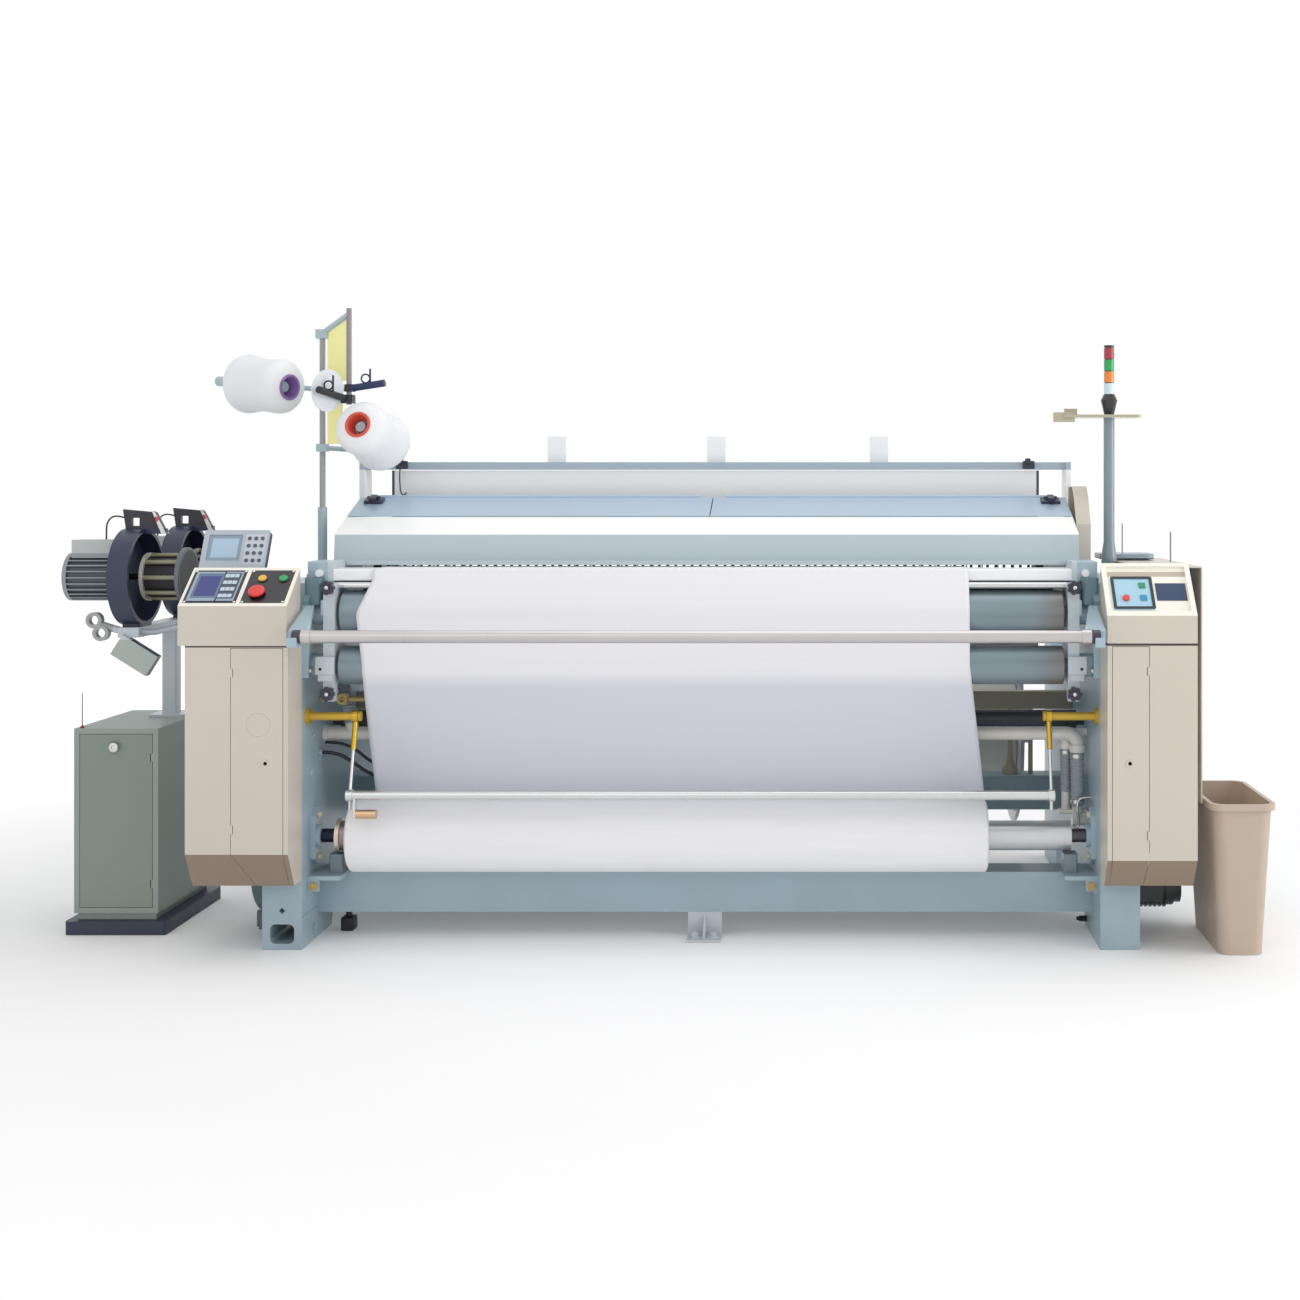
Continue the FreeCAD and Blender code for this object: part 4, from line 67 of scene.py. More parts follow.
# %% Camera
PHOTO_SIZE = 1300
HORIZON_U, HORIZON_V = 830, 490         # where the camera's own axis meets the photograph
FOCAL_PIXELS = 1742
SENSOR = 36.0
camera_data = bpy.data.cameras.new("camera")
camera_data.sensor_width = SENSOR
camera_data.lens = SENSOR * FOCAL_PIXELS / PHOTO_SIZE
camera_data.shift_x = (PHOTO_SIZE / 2 - HORIZON_U) / PHOTO_SIZE
camera_data.shift_y = -(PHOTO_SIZE / 2 - HORIZON_V) / PHOTO_SIZE
camera = bpy.data.objects.new("camera", camera_data)
camera.location = (0.37, -5.12, 1.32)
camera.rotation_euler = (math.radians(90), 0, 0)
bpy.context.scene.collection.objects.link(camera)
bpy.context.scene.camera = camera
print("lens", round(camera_data.lens, 1), "mm")
print("shift", round(camera_data.shift_x, 3), round(camera_data.shift_y, 3))

# %% [markdown]
# ## Shader maths as plain Python
#
# A material is a graph of nodes, but most of what is wanted from it is arithmetic: a stripe is a
# comparison, a stain is a noise times a mask. The small class below wraps one socket, and its
# operators add the Math nodes, so a finish can be written as a formula. The operators differ only
# in their name, so a loop gives them to the class. Plus and minus also work after a plain number.


# %% The socket class
def linear(code):
    """The linear colour of a hex code such as #CBC3B6."""
    parts = [int(code[start:start + 2], 16) / 255 for start in (1, 3, 5)]
    return [part / 12.92 if part <= 0.04045 else ((part + 0.055) / 1.055) ** 2.4 for part in parts] + [1.0]


def scaled(colour, factor):
    """A linear colour made darker or lighter, without passing white."""
    return [min(1.0, part * factor) for part in colour[:3]] + [1.0]


class Flow:
    """One output socket of a material, ready for sums."""

    def __init__(self, finish, socket):
        self.finish = finish
        self.socket = socket

    def sum_of(self, operation, *values, **settings):
        """A Math node on the values given."""
        return self.finish.add("Math", dict(operation=operation, **settings), dict(enumerate(values)))

    def __abs__(self):
        return self.sum_of("ABSOLUTE", self)

    def kept(self):
        """The value held between 0 and 1."""
        return self.sum_of("ADD", self, 0.0, use_clamp=True)

    def within(self, low, high):
        """1 where the value lies between two limits, and 0 elsewhere."""
        return (self > low) * (self < high)

    def ripple(self, length):
        """A sine wave of that length along the value."""
        return self.sum_of("SINE", self * (math.tau / length))

    def least(self, other):
        """The smaller of two values."""
        return self.sum_of("MINIMUM", self, other)


OPERATIONS = {"add": "ADD", "sub": "SUBTRACT", "mul": "MULTIPLY", "truediv": "DIVIDE", "pow": "POWER",
              "gt": "GREATER_THAN", "lt": "LESS_THAN"}
for name, operation in OPERATIONS.items():
    setattr(Flow, f"__{name}__", lambda flow, other, how=operation: flow.sum_of(how, flow, other))
for name in ("add", "sub"):
    setattr(Flow, f"__r{name}__", lambda flow, other, how=OPERATIONS[name]: flow.sum_of(how, other, flow))
print("sockets take sums")

# %% [markdown]
# ## One class for a finish
#
# Each finish starts from Blender's own Principled shader. Values that are the same all over are
# set on its sockets, and only colour, roughness, metal and relief are fed from the graph. The
# coordinates are the object's own: every piece of this loom stands at the origin with its place in
# its mesh, so a coordinate is simply a place on the machine in metres. A finish is found again by
# its name.

# %% The finish class
finishes = {}


class Finish:
    """A material under construction: its nodes, its shader and its surface coordinates."""

    def __init__(self, name, **shader):
        self.material = bpy.data.materials.new(name)
        self.material.use_nodes = True
        self.tree = self.material.node_tree
        self.shader = self.tree.nodes["Principled BSDF"]
        for key, value in shader.items():
            self.shader.inputs[key.replace("_", " ").title()].default_value = value
        place = self.tree.nodes.new("ShaderNodeTexCoord")
        self.place = Flow(self, place.outputs["Object"])
        self.axes = self.add("SeparateXYZ", {}, {0: self.place}, every=True)
        finishes[name] = self

    def add(self, kind, settings, inputs, output=0, every=False):
        """One node of any kind: its settings first, then the values or links of its inputs."""
        node = self.tree.nodes.new("ShaderNode" + kind)
        for key, value in settings.items():
            setattr(node, key, value)
        for key, value in inputs.items():
            if isinstance(value, Flow):
                self.tree.links.new(value.socket, node.inputs[key])
            else:
                node.inputs[key].default_value = value
        if every:
            return [Flow(self, socket) for socket in node.outputs]
        return Flow(self, node.outputs[output])

    def noise(self, scale, detail=2.0, stretch=(1, 1, 1), rough=0.5, where=None):
        """Cloudy variation around 0.5, which a stretch draws out along an axis."""
        where = self.add("Mapping", {}, {"Vector": where or self.place, "Scale": stretch})
        inputs = {"Vector": where, "Scale": scale, "Detail": detail, "Roughness": rough}
        return self.add("TexNoise", {}, inputs)

    def mix(self, mask, first, second):
        """The first colour where the mask is 0, the second where it is 1."""
        return self.add("Mix", {"data_type": "RGBA"}, {0: mask, 6: first, 7: second}, output=2)

    def shaded(self, mask, code, dark, light, patches=None):
        """A colour between a darker and a lighter shade of itself, with patches laid over it."""
        base = linear(code)
        colour = self.mix(mask, scaled(base, dark), scaled(base, light))
        for patch, patch_colour in patches(self) if patches else ():
            colour = self.mix(patch, colour, patch_colour)
        return colour

    def around(self, a, b, centre_a, centre_b):
        """The distance from a line, in the plane of two coordinates."""
        return ((a - centre_a) ** 2.0 + (b - centre_b) ** 2.0) ** 0.5

    def leaned(self, slope, y, z):
        """Coordinates on a plate that leans back: along its slope, and up out of its face."""
        turn = math.radians(slope)
        from_y, from_z = self.axes[1] - y, self.axes[2] - z
        along = from_y * math.cos(turn) + from_z * math.sin(turn)
        return along, from_z * math.cos(turn) - from_y * math.sin(turn)

    def feed(self, name, value):
        """A link into one of the shader's own sockets."""
        self.tree.links.new(value.socket, self.shader.inputs[name])

    def bump(self, height, distance):
        """A relief of that depth in metres, in the shader's normal."""
        self.feed("Normal", self.add("Bump", {}, {"Height": height, "Distance": distance, "Strength": 1.0}))


print("finishes can be mixed")

# %% [markdown]
# ## Four recipes for hard surfaces
#
# Sheet covers have a fine powder coat, and castings show their sand texture through a thicker
# enamel. Paint is never quite even, so the colour drifts a little, the gloss changes with handling,
# and dust dulls the parts close to the floor. Turned steel has rings across its length, and
# moulded plastic a fine skin. A recipe takes extra patches, from a function that gives masks and
# colours, so that a foot can be darker or a folded edge take painted brown shade without a second
# recipe.


# %% Recipes
def enamel(name, code, rough=0.38, grain=0.00004, grain_scale=900, coat=0.25, dusty=0.2, patches=None):
    """Sheet paint: a small drift in colour, a fine skin, and dust near the floor."""
    finish = Finish(name, coat_weight=coat, coat_roughness=0.2)
    colour = finish.shaded(finish.noise(3.0, 3), code, 0.96, 1.04, patches)
    dust = (1 - finish.axes[2] * 2.2).kept() * finish.noise(9.0, 4) * dusty
    finish.feed("Base Color", finish.mix(dust.kept(), colour, linear("#A79F92")))
    finish.feed("Roughness", (rough - 0.05 + finish.noise(22.0, 3) * 0.12 + dust * 0.3).kept())
    finish.bump(finish.noise(grain_scale, 2), grain)


def casting(name, code, rough=0.42, patches=None):
    """Enamel over sand-cast iron: a coarser skin, softened by the paint."""
    finish = Finish(name, coat_weight=0.3, coat_roughness=0.25)
    worn = finish.noise(14.0, 5, rough=0.65)
    colour = finish.shaded(worn, code, 0.9, 1.08, patches)
    grime = (1 - finish.axes[2] * 2.6).kept() * finish.noise(6.0, 5) * 0.4
    finish.feed("Base Color", finish.mix(grime.kept(), colour, linear("#6B706D")))
    finish.feed("Roughness", (rough - 0.08 + worn * 0.18).kept())
    finish.bump(finish.noise(160.0, 4) + finish.noise(30.0, 2) * 1.5, 0.0003)


def ground_steel(name, code, rough=0.32, metallic=0.85, rings=0.00004, patches=None):
    """Turned or ground steel, with rings of that depth across the piece's length."""
    finish = Finish(name, metallic=metallic)
    lines = finish.noise(3.0, 3, stretch=(260.0, 2.0, 2.0))
    spots = finish.noise(6.0, 4)
    finish.feed("Base Color", finish.shaded(spots, code, 0.88, 1.0, patches))
    finish.feed("Roughness", (rough - 0.1 + lines * (rings * 3500) + spots * 0.1).kept())
    finish.bump(lines, rings)


def moulding(name, code, rough=0.45, coat=0.0, grain=0.00006, patches=None):
    """Moulded plastic with a fine spark-eroded skin."""
    finish = Finish(name, coat_weight=coat, coat_roughness=0.15)
    finish.feed("Base Color", finish.shaded(finish.noise(11.0, 3), code, 0.93, 1.05, patches))
    finish.feed("Roughness", (rough - 0.06 + finish.noise(40.0, 3) * 0.12).kept())
    finish.bump(finish.noise(1400.0, 2), grain)


print("four recipes are ready")

# %% [markdown]
# ## Paints with two colours in them, and painted light and shade
#
# Some pieces are one casting or one fold of sheet with a second colour on it: the sloped faces of
# desk and panel are cream, and the housings on the roller brackets are a darker teal. Other patches
# are painted light: brown shade where the columns fold in above the floor, shade in a strip along the
# top of the panel's face, a dark shadow behind the cloth's fell and a highlight along the hood's
# slanted band. Each patch is a formula on the coordinates, so its edge is as sharp as masking tape.

# %% Patches on covers, desk and castings
DESK_SLOPE, PANEL_SLOPE = 37.84, 47.33
DESK_LIP, PANEL_LIP = 0.996, 0.969
COVER_FRONT, COVER_FOOT, CHAMFER_IN = -0.250, 0.200, 0.060


def column_patches(knee, top, ring=None):
    """Painted brown shade on the downward-facing fold at a column cover's foot, its dark top seam and the
    left door's pressed ring.
    """
    def patches(finish):
        x, y, z = finish.axes
        rise = knee - COVER_FOOT
        length = math.hypot(rise, CHAMFER_IN)
        off_fold = ((y - COVER_FRONT) * rise + (z - knee) * CHAMFER_IN) / length
        # painted shade: the fold faces down, so it is coloured brown as if it lay in shade
        found = [(off_fold.within(-0.0007, 0.0007) * (z < knee), linear("#8C7967")),
                 (z > top - 0.0045, linear("#3B342F"))]
        if ring:
            angle = finish.add("Math", {"operation": "ARCTAN2"}, {0: z - ring[1], 1: x - ring[0]})
            dash = angle.sum_of("WRAP", angle + 4.0, math.tau / 26, 0.0) > math.tau / 60
            line = abs(finish.around(x, z, *ring) - 0.033) < 0.0009
            found.append((line * dash * (y < COVER_FRONT + 0.0005), linear("#A89E92")))
        return found
    return patches


def cream_face(slope, lip, deep, strip=None):
    """The cream sloped face of a desk box, with a beige strip of painted shade along its top where it has
    one: the shade of the recess's upper wall.
    """
    def patches(finish):
        along, up = finish.leaned(slope, COVER_FRONT, lip)
        face = up.within(-deep, 0.0006) * (along > -0.0005)
        found = [(face, linear("#F6F2E6"))]
        # the strip is painted shade, where the recess's upper wall shades the top of the face
        if strip:
            found.append((face * rectangle(finish.axes[0], along, *strip), linear("#BDB2A3")))
        return found
    return patches


def rectangle(a, b, a0, a1, b0, b1):
    """1 inside a rectangle of two coordinates."""
    return a.within(a0, a1) * b.within(b0, b1)


def bracket_patches(finish):
    """Light arms, teal housings, white boss and dark rail collars on the roller brackets."""
    x, y, z = abs(finish.axes[0]), finish.axes[1], finish.axes[2]
    boss = (y < -0.0645) * (finish.around(x, z, 1.110, 1.079) < 0.0115)
    housing = (x > 1.097) * z.within(0.9885, 1.0665) * (y < -0.049)
    collar = (finish.around(y, z, -0.290, 0.913) < 0.0195) * x.within(1.0935, 1.1195)
    return [(x < 1.0875, linear("#C2CCD2")), (housing, linear("#64838C")), (boss, linear("#F2F4F4")),
            (collar, linear("#332E3E"))]


def beam_patches(finish):
    """A painted shadow behind the cloth's fell, for the dark gap under the hood, and the paler folded front
    of the floor beam.
    """
    y, z = finish.axes[1:3]
    # painted shadow: a dark band on the beam where the gap under the hood lies in shade
    return [((z > 1.036) * y.within(0.070, 0.108), linear("#3A4650")),
            ((y < 0.036) * (z < 0.2), linear("#A3B9C4"))]


def hood_patches(finish):
    """A painted highlight on the hood's slanted band, above its blue-grey front."""
    y, z = finish.axes[1:3]
    off_highlight_band = (z - 1.187) * 0.933 - (y - 0.110) * 0.359
    # painted highlight: the slanted band is coloured white where it catches the light
    return [(off_highlight_band.within(-0.0014, 0.0014) * z.within(1.1858, 1.2385), linear("#FBFBFA"))]


def heddle_patches(finish):
    """The white upper rail of a heddle frame, dark at its two ends."""
    x, z = abs(finish.axes[0]), finish.axes[2]
    return [(z > 1.2925, linear("#F7F7F9")), ((z > 1.2925) * (x > 1.0365), linear("#3A4250"))]


def channel_patches(finish):
    """The blue-grey channel below the three white posts."""
    return [(finish.axes[2].within(1.3855, 1.4102), linear("#A7B8C5"))]


def support_patches(finish):
    """Pad, brass nut and the two bolts of each cloth roll bearing."""
    x, y, z = abs(finish.axes[0]), finish.axes[1], finish.axes[2]
    bolts = (x < 1.1327) * (finish.around(y, abs(z - 0.305), 0.0, 0.062) < 0.0095)
    nut = (y < -0.0713) * (finish.around(x, z, 1.126, 0.172) < 0.0118)
    return [(x.within(1.0535, 1.0945) * (z > 0.2002), linear("#76868E")), (bolts, linear("#D9D2B4")),
            (nut, linear("#C59C46"))]


def rear_cover_patches(finish):
    """The blue-grey platform on top of the rear cover, and its three bare pins."""
    x, y, z = finish.axes
    pin = (finish.around(x, y, 1.410, 0.200) < 0.0028) * (z > 1.1003)
    return [(z > 1.1035, linear("#93A6B2")), (z.within(1.1035, 1.1075), linear("#333A44")),
            ((z > 1.1203) + pin, linear("#8F9393"))]


print("patches for the painted pieces are written")

# %% [markdown]
# ## The loom's paints
#
# A finish has the name of the slot that it fills in the frame's record. Those with a name of their
# own are for single pieces.

# %% Paints
BEIGE, FRAME_BLUE = "#CFC7BA", "#A5BBC6"
enamel("beige_paint", BEIGE, rough=0.45)
enamel("hood_front_paint", "#B9C7CC", rough=0.36, patches=hood_patches)
enamel("heddle_rail_paint", "#B9BDC0", rough=0.35, patches=heddle_patches)
enamel("channel_paint", "#F4F5F7", rough=0.35, dusty=0.0, patches=channel_patches)
casting("support_paint", FRAME_BLUE, patches=support_patches)
enamel("rear_cover_paint", BEIGE, rough=0.45, patches=rear_cover_patches)
enamel("left_column_paint", BEIGE, rough=0.45, patches=column_patches(0.300, 0.884, (-1.229, 0.663)))
enamel("right_column_paint", BEIGE, rough=0.45, patches=column_patches(0.283, 0.889))
enamel("desk_paint", BEIGE, rough=0.42, patches=cream_face(DESK_SLOPE, DESK_LIP, 0.0045))
# the panel's strip is painted shade along the top of its recessed face
enamel("panel_paint", BEIGE, rough=0.42,
       patches=cream_face(PANEL_SLOPE, PANEL_LIP, 0.0092, strip=(1.160, 1.384, 0.1475, 0.1655)))
casting("frame_paint", FRAME_BLUE)
casting("bracket_paint", FRAME_BLUE, patches=bracket_patches)
casting("beam_paint", "#8FA8B0", patches=beam_patches)
enamel("hood_paint", "#B9C9CE", rough=0.36)
enamel("lid_paint", "#A9BDD0", rough=0.34)
enamel("white_paint", "#F4F5F7", rough=0.35, dusty=0.0)
enamel("post_paint", "#C3CBD2", rough=0.4)
ground_steel("rail_paint", "#CBC6C6", rough=0.34, metallic=0.7, rings=0.000001)
casting("guard_paint", "#5F7375")
casting("motor_paint", "#3A4044", rough=0.5)
enamel("harness_paint", "#B8AE9A", rough=0.5)
print("paints:", len(finishes))

# %% [markdown]
# ## The control box, its post and the feeders' castings
#
# The box beside the loom is a hammered grey-green on a navy plinth. The feeders are put together
# from a grey finned motor, a navy hoop, a black wing with a white strip and a red dot, so one
# material reads where it is along the feeder's axis. Both feeders share it: folding the depth
# coordinate about each of their axes gives the same distance on either.

# %% Box and feeder finishes
FEEDER_YS, FEEDER_Z = (0.130, 0.530), 1.059


def feeder_depth(finish):
    """The distance in Y from the nearer of the two feeders' axes."""
    return abs(finish.axes[1] - FEEDER_YS[0]).least(abs(finish.axes[1] - FEEDER_YS[1]))


def box_patches(finish):
    """The navy plinth under the control box."""
    return [(finish.axes[2] < 0.0405, linear("#222D44"))]


def feeder_patches(finish):
    """Motor with painted shade in its fin valleys, terminal box, wing with its strip and dot, on the feeders'
    navy casting.
    """
    x, z, deep = finish.axes[0], finish.axes[2], feeder_depth(finish)
    motor = x < -1.7525
    # painted shade: the valleys between the motor's fins are darkened
    fin_valley_shade = motor * (z < 1.1315) * (finish.around(deep, z, 0.0, FEEDER_Z) < 0.0685)
    strip = (x > -1.672) * (z > 1.1885) * (deep > 0.0105)
    dot = (finish.around(x, z, -1.656, 1.232) < 0.008) * (deep > 0.0105)
    return [(motor, linear("#8F979C")), (fin_valley_shade, linear("#454E56")),
            (motor * (z > 1.1315), linear("#B7BABA")), ((z > 1.206) * (x > -1.76), linear("#1D1D2B")),
            (strip, linear("#E8E9EA")), (dot, linear("#D2424A"))]


def post_patches(finish):
    """The two open rings in bare metal and the sensor box with its dark sides."""
    x, y, z = finish.axes
    sensor = (y < 0.095) * (z < 0.874) * (x > -1.790)
    rings = (y < 0.092) * (x < -1.768)
    return [(rings, linear("#A5A8A8")), (sensor, linear("#26284A")),
            (sensor * (y < 0.0595), linear("#A9B3AE"))]


def drum_patches(finish):
    """The drum's cream back disc, dark core and bright rods."""
    x, z, deep = finish.axes[0], finish.axes[2], feeder_depth(finish)
    out = finish.around(deep, z, 0.0, FEEDER_Z)
    rods = (out > 0.0595) * (x < -1.5745)
    return [(rods, linear("#8C8A76")), (rods * (x < -1.6755), linear("#D8DAD0")),
            ((x > -1.5745) * (out > 0.080), linear("#6A6E76"))]


HAMMERED = dict(rough=0.5, grain=0.0001, grain_scale=600, coat=0.1)
enamel("box_paint", "#8F9C96", dusty=0.06, patches=box_patches, **HAMMERED)
enamel("box_door_paint", "#828E87", **HAMMERED)
casting("feeder_paint", "#222B45", rough=0.45, patches=feeder_patches)
enamel("feeder_post_paint", "#C3CBD2", rough=0.4, patches=post_patches)
ground_steel("drum_dark", "#2A2A2E", rough=0.4, metallic=0.5, patches=drum_patches)
print("with box and feeders:", len(finishes), "finishes")

# %% [markdown]
# ## Screens, keys and lamps
#
# The desk's plates, the panel's face and the feeders' display are flat, so their print is laid out
# in two coordinates: across the plate, and along its slope. The third, height above the face,
# tells a raised key from the plate that it stands on. No lettering is drawn on any of them.


# %% Printed faces
def desk_patches(finish):
    """The display plate: silver frame, navy screen and steel keys. The button plate stays black."""
    x = finish.axes[0]
    along, up = finish.leaned(DESK_SLOPE, COVER_FRONT, DESK_LIP)
    plate = x < -1.2905
    frame_ring = plate * (up > 0.0008) * (up < 0.0017)
    gap = frame_ring * x.within(-1.3585, -1.3535)
    pad = frame_ring * rectangle(x, along, -1.3535, -1.3085, 0.029, 0.139)
    sunk = plate * (up < 0.0008)
    return [(frame_ring, linear("#93A9BA")), (gap, linear("#12141C")), (pad, linear("#39475A")),
            (plate * (up > 0.0018), linear("#C4D4E0")),
            (sunk * rectangle(x, along, -1.4305, -1.3555, 0.0315, 0.137), linear("#5F7692")),
            (sunk * rectangle(x, along, -1.424, -1.364, 0.042, 0.128), linear("#2C3480"))]


def panel_patches(finish):
    """The panel's pale membrane in its black bezel, a green and a blue lamp, and a navy plate."""
    x = finish.axes[0]
    along, up = finish.leaned(PANEL_SLOPE, COVER_FRONT, PANEL_LIP)
    plate = x > 1.290
    lamps = (1 - plate) * (up > -0.0015)
    return [(plate, linear("#22385C")), ((1 - plate) * (up < -0.0030), linear("#A6CFE2")),
            (lamps, linear("#2A8CC2")), (lamps * (along > 0.085), linear("#1E9161"))]


def display_patches(finish):
    """Silver front, blue-grey screen, dark keys and black sides of the feeders' display."""
    x = finish.axes[0] + 1.384
    along, up = finish.leaned(62.0, -0.018, 1.090)
    plate = rectangle(x, along, -0.097, 0.097, -0.001, 0.127)
    front = (up > -0.006) * plate
    bed = front * rectangle(x, along, 0.028, 0.090, 0.014, 0.112) * (up < 0.0005)
    screen = front * rectangle(x, along, -0.0805, 0.0185, 0.0255, 0.1105)
    glow = front * rectangle(x, along, -0.069, 0.008, 0.037, 0.099)
    return [((up > -0.0265) * plate, linear("#22263A")), (front, linear("#B6BDC9")),
            (bed, linear("#C9CFD8")), (screen, linear("#8C9FB2")), (glow, linear("#AFC6DC")),
            (front * (up > 0.0010), linear("#4E5668"))]


def lamp_patches(finish):
    """From the floor up: grey pole, olive tray, black holder, then clear, amber, green and red lenses."""
    x, y, z = finish.axes
    out = finish.around(x, y, 1.235, 0.280)
    low, pitch, seam = 1.617, 0.03625, 0.003
    found = [(z.within(1.528, 1.574) * (out > 0.030), linear("#B5AC94")),
             (z.within(1.5525, low) * (out < 0.030), linear("#1C1B20"))]
    for code in ("#CFE2EC", "#E8862A", "#12A04C", "#A32636"):
        found.append((z.within(low, low + pitch - seam), linear(code)))
        found.append((z.within(low + pitch - seam, low + pitch), linear("#2A2426")))
        low += pitch
    return found + [(z > low, linear("#3A1C20"))]


moulding("desk_face", "#15161B", rough=0.3, coat=0.4, grain=0.00001, patches=desk_patches)
moulding("panel_blue", "#14202C", rough=0.35, coat=0.2, grain=0.00001, patches=panel_patches)
moulding("display_shell", "#B4BCC6", rough=0.35, coat=0.2, grain=0.00002, patches=display_patches)
moulding("lamp_plastic", "#82949E", rough=0.25, coat=0.5, grain=0.00001, patches=lamp_patches)
print("with printed faces:", len(finishes), "finishes")

# %% [markdown]
# ## Bright metal, mouldings and the cone stand
#
# Rollers are ground steel and the pipes and rails are plated. The stop bar's levers are yellow
# passivated at their upper end. The cone stand is pale enamel with bare rods and a yellow
# separator sheet, which is found by its distance from the plane between pole and hanging rod.

# %% Patches on metal and stand
POLE, HANGING_ROD = (-1.203, 0.280), (-1.107, 0.230)


def bar_patches(finish):
    """The yellow upper end of each lever, and the tan grip."""
    x, z = finish.axes[0], finish.axes[2]
    return [((abs(x) > 0.990) * (z > 0.573), linear("#C9A63A")),
            ((x < -0.905) * (z < 0.4075) * (x > -0.986), linear("#D3B08C"))]


def stand_patches(finish):
    """Bare rods and the yellow separator on the cone stand."""
    x, y, z = finish.axes
    across = (Vector(HANGING_ROD) - Vector(POLE)).normalized()
    away = (x - POLE[0]) * -across.y + (y - POLE[1]) * across.x
    along = (x - POLE[0]) * across.x + (y - POLE[1]) * across.y
    pole = (finish.around(x, y, *POLE) < 0.0096) * z.within(1.266, 1.789)
    sheet = away.within(-0.0004, 0.0030) * along.within(0.0125, 0.0985) * z.within(1.461, 1.853)
    return [(pole, linear("#9C9FA0")), (finish.around(x, y, *HANGING_ROD) < 0.0086, linear("#8F8688")),
            (sheet, linear("#FBF7A8"))]


def tensioner_patches(finish):
    """The white balloon plate and the navy right-hand tensioner."""
    x, y, z = finish.axes
    ahead = Vector((0.868, -0.488, -0.09)).normalized()
    off = (x + 1.15512) * ahead.x + (y - 0.16192) * ahead.y + (z - 1.6216) * ahead.z
    plate = off.within(-0.0006, 0.0046) * (x < -1.1) * (y < 0.235)
    return [((x > -1.098) * (z > 1.615), linear("#1E2C55")), (plate, linear("#E3E8EE")),
            ((finish.around(x, y, *POLE) < 0.020), linear("#7F8F92"))]


def core_patches(finish):
    """The cloth roll's core: rosy left end, beige collar and a dark shaft."""
    x, y, z = finish.axes
    out = finish.around(y, z, 0.0, 0.305)
    left, shaft = x < -1.034, out < 0.0215
    return [(left, linear("#9C8A88")), (left * (out > 0.0436), linear("#DDD2C2")),
            (left * shaft, linear("#2A2B40")), (shaft * (x > 1.0752), linear("#55525C"))]


def roller_patches(finish):
    """Rust-brown stain on the rollers' right-hand end, where the cloth never runs."""
    clouds = (finish.noise(9.0, 4, stretch=(1.0, 3.0, 3.0)) * 1.6).kept()
    stain = ((finish.axes[0] - 0.955) / 0.08).kept() * clouds
    return [((stain * 0.55).kept(), linear("#7D6453"))]


print("patches for metal and stand are written")

# %% [markdown]
# Steel, then enamel and plastic. A name is again the slot that the finish fills. Brass, rubber,
# the red wire and the two cone tubes fill no slot of the frame: pieces made further down use them.
# The stop bar's steel is for that one piece.

# %% Metal and plastic finishes
ground_steel("roller_steel", "#87969E", rough=0.38, metallic=0.5, patches=roller_patches)
ground_steel("bright_steel", "#D9DADA", rough=0.28, rings=0.000005)
ground_steel("bar_steel", "#D9DADA", rough=0.26, metallic=0.8, rings=0.000003, patches=bar_patches)
ground_steel("reed_metal", "#565C62", rough=0.5, metallic=0.5)
ground_steel("core_metal", "#D3D5D8", rough=0.34, metallic=0.7, rings=0.000003, patches=core_patches)
ground_steel("yellow_paint", "#D2AE42", rough=0.4, metallic=0.35)
ground_steel("brass", "#C9B27A", rough=0.4, metallic=0.4)
enamel("stand_paint", "#A9BCC3", rough=0.42, patches=stand_patches)
moulding("tensioner_black", "#23252B", patches=tensioner_patches)
moulding("knob_plastic", "#23233A", rough=0.35, coat=0.3)
moulding("pipe_plastic", "#E9E6E0", rough=0.3, coat=0.3)
moulding("hose_plastic", "#A3ABB2", rough=0.5)
moulding("bin_plastic", "#C0AF9F", rough=0.5, grain=0.00012)
moulding("lead_rubber", "#2B3036", rough=0.5)
for name, code in (("button_red", "#E2322E"), ("button_green", "#1FA05C"), ("button_yellow", "#E9B63A")):
    moulding(name, code, rough=0.3, coat=0.4, grain=0.00001)
moulding("rubber", "#202226", rough=0.6)
moulding("wire_red", "#9C3B3A", rough=0.5)
moulding("tube_purple", "#8A68A8", rough=0.35, coat=0.3)
moulding("tube_red", "#D9503C", rough=0.35, coat=0.3)
print("all hard finishes:", len(finishes))

# %% [markdown]
# ## Cloth and yarn
#
# The web is a plain filament cloth: at arm's length a smooth white sheet with a faint sheen, close
# up a grid of threads. The pattern has to follow the cloth round its rollers, so it reads the
# piece's own UV map, in which a unit is a metre of cloth. Wound yarn shows its turns as fine lines
# around the package instead.


# %% Soft finishes
def woven(name, code, uv, painted_shade_span):
    """Filament cloth: crossing threads, streaks, sheen, and painted shade over the free stretch between
    rollers and roll.
    """
    finish = Finish(name, roughness=0.7, sheen_weight=0.35, sheen_roughness=0.4)
    where = finish.add("UVMap", {"uv_map": uv}, {})
    across, along = finish.add("SeparateXYZ", {}, {0: where}, every=True)[:2]
    streaks = finish.noise(1.0, 3, stretch=(0.6, 60.0, 60.0), where=where)
    clouds = finish.noise(2.2, 3, where=where)
    colour = finish.mix(clouds * 0.25, finish.shaded(streaks, code, 0.965, 1.02), linear("#DDDDE9"))
    # painted shade: the free stretch of cloth is coloured greyer, as it lies in shade
    start, end, fade = painted_shade_span
    free = ((along - start) / fade).kept() * ((end - along) / fade).kept()
    finish.feed("Base Color", finish.mix(free * 0.85, colour, linear("#D2D5DF")))
    finish.feed("Roughness", (0.62 + clouds * 0.12).kept())
    finish.bump(across.ripple(0.0011) * 0.5 + along.ripple(0.0013) * 0.5 + streaks * 2.0, 0.00006)


